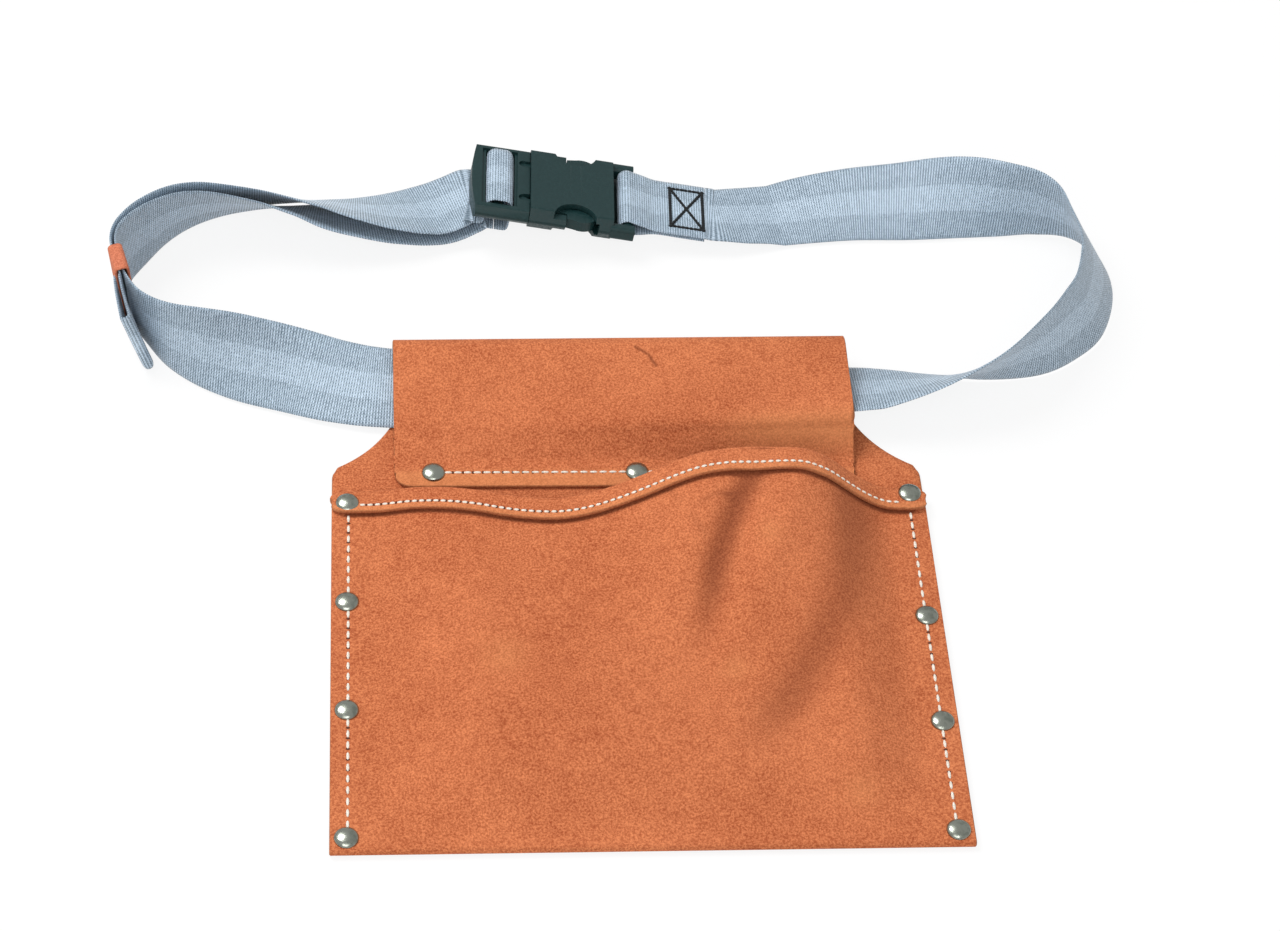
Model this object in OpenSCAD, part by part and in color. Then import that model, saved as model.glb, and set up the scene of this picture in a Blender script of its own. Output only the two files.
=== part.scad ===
// Carpenter's tool belt: one leather nail pouch on a webbing waist belt
// with a side-release buckle, lying on its back. Millimetres, +Z up,
// X along the belt, Y from the pouch's foot to its belt loop.

/* [Pouch] */
// Width of the pouch across its side seams
pouch_w = 267; // [240:1:300]
// Growth of each half width from the shoulders to the foot
side_flare = 1.8; // [0:0.1:3]
// Distance from the frame's origin down to the bottom fold
pouch_foot = 212; // [190:1:230]
// Distance from the frame's origin down to the pouch's shoulders
shoulder_drop = 5; // [2:1:10]
// Height of the shoulders' slope from side to neck
shoulder_h = 27; // [24:1:30]
// Depth of the hollow in the shoulders' slope
shoulder_dip = 3; // [1:0.5:5]
// Radius of the pouch's outer corners
corner_r = 6; // [3:1:10]
// Thickness of the leather
leather_t = 2; // [1.6:0.1:2.4]

/* [Belt loop] */
// Width of the folded loop flap
flap_w = 211; // [190:1:215]
// Height of the rolled fold above the table, left end
roll_h = 19; // [18:0.5:21]
// Extra height of the rolled fold at its right end
roll_rise = 2; // [0:0.5:3]
// Amount by which the flap stops short of the neck's right edge
flap_trim = 2; // [0:0.5:3]
// Farthest reach of the rolled fold
roll_reach = 62; // [61:0.5:65]
// Distance from the origin down to the flap's sewn lower edge
flap_foot = 18; // [16:1:20]
// Height of the flap over the strap's near edge, left end
gape_left = 8; // [8:0.5:11]
// Height of the flap over the strap's near edge, right end
gape_right = 21; // [20:0.5:23]

/* [Pocket] */
// Depth of the pocket in its middle
belly_h = 10; // [8:0.5:13]
// Extra height of the mouth's open side
mouth_h = 16; // [14:0.5:18]
// Place of the mouth's highest point along X
mouth_x = 52; // [44:1:60]
// Distance from the origin down to the folded rim
rim_drop = 23.5; // [22:0.5:26]
// Width of the rim's folded hem
hem_w = 14; // [11:0.5:16]
// Width of the flat margin beside the seams
margin_w = 15; // [12:0.5:18]

/* [Rivets] */
// Diameter of the rivet caps
cap_d = 10.5; // [9:0.5:11]
// Height of the rivet caps
cap_h = 2.2; // [1.6:0.1:2.6]
// Diameter of the rivet shanks
shank_d = 3; // [2.6:0.1:3.4]
// Distance of the side rivets from the pouch's edge
rivet_inset = 7; // [6:0.5:8]
// Spacing of the flap rivets
flap_rivet_pitch = 92; // [88:1:95]

/* [Strap] */
// Width of the webbing
strap_w = 40; // [38:0.5:41]
// Thickness of the webbing
strap_t = 1.4; // [1.2:0.1:1.5]
// Height of the strap's low edge above the table
strap_lift = 0.6; // [0.5:0.1:0.8]

/* [Buckle] */
// Width of the buckle
buckle_w = 52; // [51:0.5:54]
// Thickness of the socket
socket_t = 12; // [11.5:0.1:12.5]
// Length of the socket
socket_l = 52; // [51:0.5:54]
// Length of the plug's ladder frame
plug_l = 28; // [28:0.5:30]
// Thickness of the plug's ladder frame
plug_t = 8; // [7.6:0.1:8]
// Turn of the buckle seen from above
buckle_turn = -4; // [-5:0.5:-3]
// Rise of the buckle towards its plug
buckle_pitch = 8; // [7:0.5:9]
// Lean of the buckle about its own length
buckle_lean = 8; // [7:0.5:9]
// Place of the buckle's joint line along X
buckle_x = -39.4; // [-42:0.1:-38]
// Place of the buckle's joint line along Y
buckle_y = 155.2; // [154:0.1:156]
// Height of the buckle's middle plane at the joint line
buckle_z = 17.8; // [17.8:0.1:18.4]

/* [Keeper] */
// Length of the keeper along the strap
keeper_l = 16; // [12:0.5:17]
// Thickness of the keeper's leather
keeper_t = 1.2; // [1:0.1:1.4]

/* [Hidden] */

leather = "peru";
webbing = "silver";
plastic = "dimgray";
nickel = "gainsboro";
thread_white = "ivory";
thread_black = "black";

// Small gap that keeps touching pieces apart
seat_gap = 0.05;
half_w = pouch_w / 2;
half_flap = flap_w / 2;
front_z = leather_t + seat_gap;
roll_r = roll_h / 2;
roll_y = roll_reach - roll_r;
rivet_x = half_w - rivet_inset;
rivet_y = flap_foot - 8;
left_rivets = [-29, -83, -141, -206];
right_rivets = [-25, -93, -150, -206];
flap_rivets = [4 - flap_rivet_pitch, 4, flap_rivet_pitch - 2];
burr_d = 8;
burr_h = 0.9;
stack_z = front_z + leather_t + seat_gap;

// Rises from 0 at a to 1 at b with soft ends
function soft(a, b, x) =
  let (s = min(1, max(0, (x - a) / (b - a))))
  s * s * (3 - 2 * s);

// Round hump of height 1 at c that has died away at c - r and c + r
function hump(c, r, x) =
  let (s = min(1, abs(x - c) / r))
  (1 - s * s) * (1 - s * s);

function unit(v) = v / norm(v);

// Points of an arc about a centre
function arc(c, r, a0, a1, n) =
  [for (i = [0:n]) let (a = a0 + (a1 - a0) * i / n) c + r * [cos(a), sin(a)]];

// Solid through a row of equal rings, each turning left about the row's heading.
// The ends are one face each, unless a list of smaller faces is given.
module loft(rings, ends = undef) {
  m = len(rings[0]);
  n = len(rings);
  sides = [
    for (i = [0:n - 2])
      for (j = [0:m - 1])
        let (k = (j + 1) % m)
        each [
          [i * m + j, (i + 1) * m + j, (i + 1) * m + k],
          [i * m + j, (i + 1) * m + k, i * m + k]
        ]
  ];
  near_end = is_undef(ends) ? [[for (j = [0:m - 1]) j]] : ends;
  far_end = [
    for (f = near_end)
      [for (j = [len(f) - 1:-1:0]) (n - 1) * m + f[j]]
  ];
  polyhedron([for (r = rings) each r], concat(near_end, sides, far_end));
}

// Leather pouch

// Neck, hollow shoulders and body of the back panel
module back_outline() {
  neck_top = roll_y;
  top = -shoulder_drop;
  low = [half_w - 2.4, top];
  rise = [half_flap - half_w + 2.4, shoulder_h];
  right = concat(
    arc([half_w + side_flare - corner_r, -pouch_foot + corner_r], corner_r, -90, 0, 6),
    arc([half_w - corner_r, top - corner_r], corner_r, 0, 40, 4),
    [for (i = [0:8]) let (f = i / 8) low + rise * f - [1, 1] * shoulder_dip * 4 * f * (1 - f) * 0.7],
    [[half_flap, neck_top]]
  );
  left = [for (i = [len(right) - 1:-1:0]) [-right[i].x, right[i].y]];
  polygon(concat(right, left));
}

// Side of the pouch grows wider towards the foot
function flare(y) = 1 + side_flare / half_w * (-y - shoulder_drop) / (pouch_foot - shoulder_drop);

module side_rivets() {
  for (y = left_rivets) {
    translate([-rivet_x * flare(y), y, 0])
      children();
  }
  for (y = right_rivets) {
    translate([rivet_x * flare(y), y, 0])
      children();
  }
}

module flap_rivet_places() {
  for (x = flap_rivets) {
    translate([x, -rivet_y, 0])
      children();
  }
}

module shank_hole() {
  translate([0, 0, -1])
    cylinder(d = shank_d + 0.3, h = 12, $fn = 16);
}

module back_panel() {
  color(leather)
    difference() {
      linear_extrude(leather_t)
        back_outline();
      side_rivets()
        burr_seat();
      flap_rivet_places()
        burr_seat();
    }
}

// Seat that takes the burr flush with the back
module burr_seat() {
  translate([0, 0, -1])
    cylinder(d = burr_d + 0.3, h = burr_h + 1.1, $fn = 48);
  shank_hole();
}

// Half height of the roll and height over the strap's near edge, at x
function roll_at(x) = roll_r + roll_rise / 2 * (x + half_flap) / flap_w;
function gape_at(x) = gape_left + (gape_right - gape_left) * (x + half_flap) / flap_w;

// Place of the join between roll and flap
join_y = 34;
function join_z(x) = gape_at(x) * 0.5 + roll_at(x);

// Section of the roll at x: up from the neck and over the strap's far edge
function fold_ring(x) =
  let (
    c = [roll_y, roll_at(x)],
    inner = concat(
      [[roll_y + seat_gap, leather_t]],
      arc(c, c.y - leather_t, -80, 95, 9),
      [[join_y + seat_gap, join_z(x) - leather_t]]
    ),
    outer = concat(
      [[roll_y + seat_gap, 0]],
      arc(c, c.y, -80, 95, 9),
      [[join_y + seat_gap, join_z(x)]]
    ),
    back = [for (i = [len(inner) - 1:-1:0]) inner[i]]
  )
  [for (p = concat(outer, back)) [x, p.x, p.y]];

// Section of the flap at x: from the roll over the strap and down to the seam
function flap_ring(x) =
  let (
    gape = gape_at(x),
    tail = min(8, half_flap + x, half_flap - flap_trim - x),
    foot = -flap_foot + (8 - sqrt(64 - pow(8 - tail, 2))),
    inner = [
      [join_y, join_z(x) - leather_t],
      [14, gape - leather_t],
      [8, gape * 0.62],
      [2.5, gape * 0.2 + 2],
      [-2.6, front_z]
    ],
    outer = [
      [join_y, join_z(x)],
      [13, gape],
      [6.5, gape * 0.62 + leather_t * 0.8],
      [1.5, gape * 0.2 + 2 + leather_t * 0.9],
      [-3.6, front_z + leather_t]
    ],
    edge = [[foot, front_z + leather_t], [foot, front_z]],
    back = [for (i = [len(inner) - 1:-1:0]) inner[i]]
  )
  [for (p = concat(outer, edge, back)) [x, p.x, p.y]];

flap_right = half_flap - flap_trim;

module belt_loop_fold() {
  n = 6;
  color(leather)
    loft(
      [for (i = [0:n]) fold_ring(-half_flap + (half_flap + flap_right) * i / n)],
      [for (i = [0:10]) [i, i + 1, 22 - i, 23 - i]]
    );
}

module belt_loop_flap() {
  n = 14;
  run = flap_right + half_flap - 18;
  xs = concat(
    [-half_flap, -half_flap + 2, -half_flap + 5],
    [for (i = [0:n]) -half_flap + 9 + run * i / n],
    [flap_right - 5, flap_right - 2, flap_right]
  );
  color(leather)
    loft([for (x = xs) flap_ring(x)], [for (i = [0:4]) [i, i + 1, 10 - i, 11 - i]]);
}

// Height of the front panel's inner face
function swell(x) = soft(0, x < 0 ? 55 : 34, half_w - margin_w - abs(x));
function rim_y(x) = -rim_drop - 11 * hump(-34, 64, x) + 3.5 * hump(mouth_x + 12, 62, x);
function front_h(x, y) =
  front_z
  + swell(x) * belly_h * soft(-pouch_foot + 2, -pouch_foot + 45, y)
  + swell(x) * mouth_h * hump(mouth_x, 88, x) * soft(-140, -rim_drop, y);

// Section of the front panel at x, with the rim folded out and down as a hem
front_steps = 10;
function front_ring(x) =
  let (
    n = front_steps,
    top = rim_y(x),
    bow = half_w - abs(x),
    foot = -pouch_foot + (bow < corner_r ? corner_r - sqrt(pow(corner_r, 2) - pow(corner_r - bow, 2)) : 0),
    raw = top - hem_w,
    ys = [for (i = [0:n]) foot + (raw - foot) * i / n],
    lie = front_h(x, top),
    inner = concat(
      [for (y = ys) [y, front_h(x, y)]],
      [[top, lie]]
    ),
    fold = [
      [top + leather_t * 0.9, lie + leather_t * 0.5],
      [top + leather_t * 1.1, lie + leather_t],
      [top + leather_t * 0.9, lie + leather_t * 1.6],
      [top, lie + leather_t * 2]
    ],
    hem = [
      [raw + hem_w / 2, front_h(x, raw + hem_w / 2) + leather_t * 2],
      [raw, front_h(x, raw) + leather_t * 1.9]
    ],
    outer = [for (i = [n:-1:0]) [ys[i], front_h(x, ys[i]) + leather_t]]
  )
  [for (p = concat(inner, fold, hem, outer)) [x * flare(p.x), p.x, p.y]];

module front_panel() {
  n = 22;
  edges = [0, 1.5, 4];
  xs = concat(
    [for (e = edges) -half_w + e],
    [for (i = [0:n]) (half_w - margin_w) * (2 * i / n - 1)],
    [for (i = [len(edges) - 1:-1:0]) half_w - edges[i]]
  );
  k = front_steps;
  ends = concat(
    [for (i = [0:k - 1]) [i, i + 1, 2 * k + 7 - i, 2 * k + 8 - i]],
    [[for (i = [0:8]) k + i]]
  );
  color(leather)
    loft([for (x = xs) front_ring(x)], ends);
}

// Low domed cap standing on the leather at z
module rivet_cap(z) {
  dome_r = (pow(cap_d / 2, 2) + pow(cap_h - 0.8, 2)) / (2 * (cap_h - 0.8));
  translate([0, 0, z])
    intersection() {
      cylinder(d = cap_d, h = cap_h + 1, $fn = 48);
      translate([0, 0, cap_h - dome_r])
        sphere(r = dome_r, $fn = 96);
    }
}

// Flat burr on the end of its shank, set flush into the back
module rivet_burr() {
  cylinder(d = burr_d, h = burr_h, $fn = 48);
  cylinder(d = shank_d, h = leather_t, $fn = 32);
}

// On the rim the top pair stands on the hem, one leather higher
module side_rivet_caps() {
  color(nickel)
    for (side = [-1, 1]) {
      ys = side < 0 ? left_rivets : right_rivets;
      for (i = [0:3]) {
        translate([side * rivet_x * flare(ys[i]), ys[i], 0])
          rivet_cap(stack_z + (i == 0 ? leather_t : 0));
      }
    }
}

module side_rivet_burrs() {
  color(nickel)
    side_rivets()
      rivet_burr();
}

module flap_rivet_caps() {
  color(nickel)
    flap_rivet_places()
      rivet_cap(stack_z);
}

module flap_rivet_burrs() {
  color(nickel)
    flap_rivet_places()
      rivet_burr();
}

// Stitching

thread_d = 0.9;
stitch_pitch = 4.3;
stitch_l = 3.3;

// Short round stitches laid from a towards b, left out beside the rivets
module stitch_row(a, b, gaps) {
  run = b - a;
  count = floor(norm(run) / stitch_pitch);
  for (i = [0:count - 1]) {
    p = a + run * (i + 0.5) / count;
    clear = min([for (g = gaps) norm([p.x, p.y] - g)]);
    if (clear > cap_d / 2 + stitch_l / 2 + 0.3) {
      translate(p)
        rotate([0, 90, atan2(run.y, run.x)])
          cylinder(d = thread_d, h = stitch_l, center = true, $fn = 16);
    }
  }
}

module side_seam(side, places) {
  z = stack_z + thread_d / 2;
  color(thread_white)
    stitch_row(
      [side * (rivet_x * flare(-rim_drop) - 0.5), -rim_drop - hem_w - 4, z],
      [side * (rivet_x * flare(-pouch_foot) - 0.5), -pouch_foot + 2, z],
      [for (y = places) [side * rivet_x * flare(y), y]]
    );
}

module left_seam_thread() {
  side_seam(-1, left_rivets);
}

module right_seam_thread() {
  side_seam(1, right_rivets);
}

module flap_seam_thread() {
  z = stack_z + thread_d / 2;
  color(thread_white)
    stitch_row(
      [-half_flap + 8, -rivet_y, z],
      [half_flap - 8, -rivet_y, z],
      [for (x = flap_rivets) [x, -rivet_y]]
    );
}

// Webbing

// Reach of the sewn loop's end along the buckle
sewn_end = 86.6;
// Heights of the two strap ends under the plug
main_w = -12;
tail_w = -10;

// Smooth row through stations of x, y, lift and tilt
function pick(list, i) = list[min(len(list) - 1, max(0, i))];
function between(a, b, c, d, s) =
  0.5 * (2 * b + (c - a) * s + (2 * a - 5 * b + 4 * c - d) * s * s + (3 * b - a - 3 * c + d) * s * s * s);
function flow(list, n) = [
  for (i = [0:len(list) - 2])
    for (k = [0:n - 1])
      between(pick(list, i - 1), list[i], list[i + 1], pick(list, i + 2), k / n),
  list[len(list) - 1]
];

// Ring of the strap at sample i, its low edge at its lift above the table
function strap_ring(row, i, thick = strap_t) =
  let (
    p = row[i],
    a = pick(row, i - 1),
    b = pick(row, i + 1),
    h = unit([b.x - a.x, b.y - a.y]),
    t = p[3],
    across = [-h.y * cos(t), h.x * cos(t), -sin(t)] * strap_w / 2,
    face = [-h.y * sin(t), h.x * sin(t), cos(t)] * thick / 2,
    c = [p.x, p.y, p.z + abs(across.z) + abs(face.z)]
  )
  [c + across - face, c + across + face, c - across + face, c - across - face];

module strap(row, from, to) {
  color(webbing)
    loft([for (i = [from:to]) strap_ring(row, i)]);
}

// Station of the strap on the buckle's length u, at height w over its middle plane
function buckle_at(u, w) =
  let (
    along = u * cos(buckle_pitch) + w * cos(buckle_lean) * sin(buckle_pitch),
    aside = w * sin(buckle_lean),
    up = -u * sin(buckle_pitch) + w * cos(buckle_lean) * cos(buckle_pitch)
  )
  [
    buckle_x + along * cos(buckle_turn) - aside * sin(buckle_turn),
    buckle_y + along * sin(buckle_turn) + aside * cos(buckle_turn),
    buckle_z + up - strap_w / 2 * sin(buckle_lean) - strap_t / 2 * cos(buckle_lean),
    buckle_lean
  ];

// Stations in sewing order: from the socket's sewn loop round the right bend,
// through the pouch's loop, round the left bend and along the far side to the plug
steps = 5;
belt_stations = [
  buckle_at(sewn_end - 8, 0.75), buckle_at(sewn_end + 0.7, 0.75), buckle_at(sewn_end + 6, 0.75),
  [62, 150, 1.7, 5], [76, 152, 1, 2], [94, 154.4, strap_lift, -6], [117, 156, strap_lift, -14],
  [141, 155, strap_lift, -24], [164, 152, strap_lift, -44], [187, 146.5, strap_lift, -69],
  [206.5, 142, strap_lift, -88], [222, 131, strap_lift, -112], [229.5, 108, strap_lift, -120],
  [223.5, 82, strap_lift, -118], [212, 66, strap_lift, -110], [196, 52, strap_lift, -95],
  [171, 40, strap_lift, -66], [146, 35, 1.4, -42], [122, 34, 2.4, -24], [106, 34, 2.8, -19],
  [50, 34, 2.8, -10], [0, 34.4, 2.8, -2], [-50, 35.5, 2.8, 6], [-106, 36.6, 2.6, 15],
  [-130, 40, 1.6, 20.5], [-152, 45.2, 0.8, 31], [-174, 48.3, strap_lift, 49], [-192, 52, strap_lift, 68],
  [-207, 58, 1, 84], [-218, 67, 2, 94], [-225.2, 78, 2.8, 95], [-227.3, 86, 2.8, 95],
  [-229.4, 94, 2.8, 95], [-230.4, 101, 2.8, 95], [-228, 109.5, 2.6, 94], [-220.5, 120.6, 1.4, 90],
  [-209, 132, strap_lift, 80], [-197, 138.8, strap_lift, 70], [-183, 142.7, strap_lift, 60],
  [-165, 144.4, strap_lift, 49], [-150, 143.6, strap_lift, 40], [-136, 142.8, strap_lift, 29],
  [-122, 143, strap_lift, 21.5], [-108, 144.4, strap_lift, 14], [-95, 147, strap_lift, 8],
  [-85, 149.6, strap_lift, 5], [-76, 152, 1.4, 5], [-68, 153.8, 3.4, 6.5],
  buckle_at(-20.6, main_w), buckle_at(-17.5, main_w), buckle_at(-14.4, main_w)
];
belt_row = flow(belt_stations, steps);
right_end = 17 * steps;
front_end = 39 * steps;

tail_stations = [
  buckle_at(-23.2, tail_w), buckle_at(-25.6, tail_w), buckle_at(-28, tail_w),
  [-75, 154.4, 5.4, 8], [-82, 152.4, 3.4, 8.5], [-89, 150.2, 2.8, 10], [-97, 147.8, 2.8, 15],
  [-108, 145.8, 2.8, 22.5], [-122, 145.2, 2.6, 32], [-136, 146.4, 2, 41], [-150, 147.8, 1.2, 48],
  [-166, 148.3, strap_lift, 56], [-184, 146.6, strap_lift, 64.5],
  [-198.6, 142.6, strap_lift, 74], [-211.2, 135.6, strap_lift, 82.5], [-222.4, 123.6, 1.4, 91],
  [-230, 111, 2.6, 94], [-232.6, 101.2, 2.8, 95], [-231.5, 93.5, 2.8, 95], [-229.4, 85.4, 2.8, 95],
  [-227.3, 77.4, 2.8, 95.5]
];

// The tail runs the other way, so its stations are turned to the belt's sense
tail_row = flow([for (i = [len(tail_stations) - 1:-1:0]) tail_stations[i]], steps);

module strap_front() {
  strap(belt_row, right_end, front_end);
}

module strap_right() {
  strap(belt_row, steps, right_end);
}

module strap_back_left() {
  strap(belt_row, front_end, len(belt_row) - 1);
}

module strap_tail() {
  strap(tail_row, 0, len(tail_row) - 1);
}

// Tail end folded back and sewn on itself, standing beside the strap and leaning out
hem_t = 3.2;
hem_stations = [
  [-221.8, 55.5, 1, 104.5], [-224.2, 62.5, 1.6, 102], [-226.6, 69.5, 2.2, 99], [-228.4, 76.2, 2.8, 96.5]
];
hem_row = flow(hem_stations, 3);

module tail_hem() {
  color(webbing)
    loft([for (i = [0:len(hem_row) - 1]) strap_ring(hem_row, i, hem_t)]);
}

// Closed leather band round strap and tail at the left bend
keeper_turn = 14.5;
module strap_keeper() {
  room_w = 4.4;
  room_h = strap_w + 1;
  color(leather)
    translate([-228.35, 86, 2.8 + strap_w / 2])
      rotate([0, 0, keeper_turn])
        rotate([0, -5, 0])
          difference() {
            cube([room_w + 2 * keeper_t, keeper_l, room_h + 2 * keeper_t], center = true);
            cube([room_w, keeper_l + 2, room_h], center = true);
          }
}

// Side-release buckle, drawn along +X from the joint line, outer face up

module in_buckle() {
  translate([buckle_x, buckle_y, buckle_z])
    rotate([0, 0, buckle_turn])
      rotate([0, buckle_pitch, 0])
        rotate([-buckle_lean, 0, 0])
          children();
}

// Draws a profile of length and height straight across the buckle's width
module across_buckle(w) {
  rotate([90, 0, 0])
    linear_extrude(w, center = true)
      children();
}

// Turns a profile of width and height to run along the buckle
module along_buckle(from, to) {
  translate([from, 0, 0])
    rotate([90, 0, 90])
      linear_extrude(to - from)
        children();
}

module rounded(w, h, r) {
  polygon(concat(
    arc([w / 2 - r, h / 2 - r], r, 0, 90, 5),
    arc([-w / 2 + r, h / 2 - r], r, 90, 180, 5),
    arc([-w / 2 + r, -h / 2 + r], r, 180, 270, 5),
    arc([w / 2 - r, -h / 2 + r], r, 270, 360, 5)
  ));
}

// Section with sides sloping from the middle plane to both faces
module bevelled(w, h, b) {
  side = w / 2 - 2;
  top = h / 2 - 1.5;
  in = w / 2 - b;
  right = concat(
    arc([in, -top], 1.5, -90, -28, 4),
    arc([side, 0], 2, -28, 28, 4),
    arc([in, top], 1.5, 28, 90, 4)
  );
  left = [for (i = [len(right) - 1:-1:0]) [-right[i].x, right[i].y]];
  polygon(concat(right, left));
}

wall_t = 2.8;
throat_w = 41;
catch_x = 18;
window_end = 34;
bar_x = socket_l - 6;
slot_x = bar_x - 5.5;
clear = 0.3;

module socket_body() {
  difference() {
    along_buckle(clear, slot_x)
      bevelled(buckle_w, socket_t, 4.4);
    // Mouth and throat that take the plug
    translate([-1, -throat_w / 2, -socket_t / 2 + wall_t])
      cube([slot_x - 1.5, throat_w, socket_t - 2 * wall_t]);
    // Side windows with the flat catches for the prongs
    translate([catch_x, -buckle_w, -socket_t / 2 + wall_t])
      cube([window_end - catch_x, 2 * buckle_w, socket_t - 2 * wall_t]);
    // Finger hollows in the upper and lower walls, over the prongs' pads
    for (side = [-1, 1]) {
      for (z = [wall_t, -wall_t - socket_t]) {
        translate([22, side * 25.5, z])
          cylinder(r = 10.4, h = socket_t, $fn = 96);
      }
    }
  }
}

// Strap frame behind the throat, with its slot and round end bar
module socket_frame() {
  frame_t = 7;
  rail = (buckle_w - throat_w) / 2;
  for (side = [-1, 1]) {
    translate([slot_x - 1, side * (buckle_w - rail) / 2, 0])
      along_buckle(0, socket_l - slot_x)
        rounded(rail, frame_t, 2);
  }
  translate([bar_x + 2, 0, 0])
    rotate([90, 0, 0])
      cylinder(d = frame_t - 1, h = throat_w + 2, center = true, $fn = 48);
}

module buckle_socket() {
  color(plastic)
    in_buckle() {
      socket_body();
      socket_frame();
    }
}

pivot_x = -3;
pivot_y = 13;
knuckle_d = 4.4;
tongue_l = 35;
prong_t = 5.4;

module plug_frame() {
  rail = 5;
  inner = buckle_w - 2 * rail;
  bow_r = 136;
  difference() {
    intersection() {
      translate([-plug_l, -buckle_w / 2, -plug_t / 2])
        cube([plug_l, buckle_w, plug_t]);
      translate([bow_r - plug_l, 0, -plug_t])
        cylinder(r = bow_r, h = 2 * plug_t, $fn = 200);
      along_buckle(-plug_l - 1, 1)
        bevelled(buckle_w, plug_t, 3.6);
    }
    // Ladder slots on both sides of the centre bar
    translate([-23, -inner / 2, -plug_t])
      cube([6, inner, 2 * plug_t]);
    translate([-12, -inner / 2, -plug_t])
      cube([6, inner, 2 * plug_t]);
    // Centre bar set down so that the webbing lies under the face
    translate([-17.5, -inner / 2, 1.6])
      cube([6, inner, plug_t]);
    translate([-17.5, -inner / 2, -plug_t - 2.6])
      cube([6, inner, plug_t]);
    // Round seats and mouths of the two prongs
    for (side = [-1, 1]) {
      translate([pivot_x, side * pivot_y, -plug_t])
        cylinder(d = knuckle_d + 0.16, h = 2 * plug_t, $fn = 64);
      translate([pivot_x, side * pivot_y - 2.1 - (side > 0 ? 0.7 : 0), -plug_t])
        cube([6, 4.9, 2 * plug_t]);
    }
  }
}

module buckle_plug() {
  color(plastic)
    in_buckle() {
      plug_frame();
      translate([0, 0, -2.5])
        linear_extrude(5) {
          translate([-1, -5])
            square([tongue_l - 3, 10]);
          translate([tongue_l - 4, 0])
            circle(r = 5, $fn = 64);
        }
    }
}

// Sprung arm with its catch and finger pad
module prong_outline() {
  translate([pivot_x, pivot_y])
    circle(d = knuckle_d, $fn = 64);
  polygon(concat(
    [[pivot_x, 11.6], [10, 13.6], [18, 15], [28, 14.8], [34, 12.8]],
    arc([34.6, 14], 1.3, -100, 60, 6),
    [[32.8, 18.6]],
    arc([25.6, 16.2], 8, 38, 112, 8),
    [[catch_x + 0.4, 22.8], [catch_x + 0.4, 19.4], [10, 17], [pivot_x, 14.4]]
  ));
}

module prong(side) {
  color(plastic)
    in_buckle()
      mirror([0, side < 0 ? 1 : 0, 0])
        translate([0, 0, -prong_t / 2])
          linear_extrude(prong_t)
            prong_outline();
}

module upper_prong() {
  prong(1);
}

module lower_prong() {
  prong(-1);
}

// Webbing over the ladder's centre bar, both ends leaving under the end bar
module strap_adjuster_wrap() {
  over = 3.4;
  half = strap_t / 2;
  color(webbing)
    in_buckle()
      across_buckle(strap_w)
        polygon(concat(
          [[-22.4, tail_w - half], [-20.2 + half, tail_w - half]],
          [[-20.2 + half, tail_w + 2]],
          arc([-16.2, over - half - 3.2], 3.3, 180, 90, 6),
          arc([-12.2, over - half - 3.2], 3.3, 90, 0, 6),
          [[-8.9, main_w + half], [-13.6, main_w + half], [-13.6, main_w - half]],
          [[-8.9 + 2 * half, main_w - half]],
          arc([-12.2, over - half - 3.2], 3.3 + 2 * half, 0, 90, 6),
          arc([-16.2, over - half - 3.2], 3.3 + 2 * half, 90, 180, 6),
          [[-20.2 - half, tail_w + half], [-22.4, tail_w + half]]
        ));
}

// Strap end passed round the socket's end bar and sewn back under itself
module strap_buckle_loop() {
  c = [bar_x + 2, 0];
  in_r = 3.4;
  out_r = in_r + strap_t;
  sewn = 62;
  color(webbing)
    in_buckle()
      across_buckle(strap_w)
        polygon(concat(
          [[sewn_end, strap_t + 0.05], [sewn, strap_t + 0.05]],
          arc(c, out_r, 75, 285, 20),
          [[sewn, -strap_t - 0.05], [sewn_end - 1, -strap_t - 0.05], [sewn_end - 1, -0.05], [sewn, -0.05]],
          arc(c, in_r, 285, 75, 20),
          [[sewn, 0.05], [sewn_end, 0.05]]
        ));
}

// Sewn box with its cross, lying on the loop
module box_stitch_thread() {
  x0 = 69;
  x1 = 85;
  y = 14.5;
  corners = [[x0, -y], [x1, -y], [x1, y], [x0, y]];
  lines = [[0, 1], [1, 2], [2, 3], [3, 0], [0, 2], [1, 3]];
  color(thread_black)
    in_buckle()
      translate([0, 0, strap_t + 2 * seat_gap])
        linear_extrude(thread_d / 2)
          for (l = lines) {
            thread_line(corners[l[0]], corners[l[1]]);
          }
}

// Flat line of thread between two points
module thread_line(a, b) {
  run = b - a;
  translate(a)
    rotate(atan2(run.y, run.x))
      translate([-thread_d / 2, -thread_d / 2])
        square([norm(run) + thread_d, thread_d]);
}

back_panel();
belt_loop_fold();
belt_loop_flap();
front_panel();
side_rivet_caps();
side_rivet_burrs();
flap_rivet_caps();
flap_rivet_burrs();
left_seam_thread();
right_seam_thread();
flap_seam_thread();
strap_front();
strap_right();
strap_buckle_loop();
box_stitch_thread();
strap_back_left();
strap_tail();
tail_hem();
strap_keeper();
strap_adjuster_wrap();
buckle_plug();
upper_prong();
lower_prong();
buckle_socket();
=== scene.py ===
# %% [markdown]
# # A carpenter's tool belt
# The belt is one leather nail pouch on a grey webbing strap with a side-release buckle.
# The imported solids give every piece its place. This lesson dresses them: suede leather,
# ribbed webbing, nickel rivets, white stitches and a moulded buckle.

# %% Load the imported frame
import math

import bmesh
import bpy
import numpy as np
from mathutils import Matrix, Vector


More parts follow.
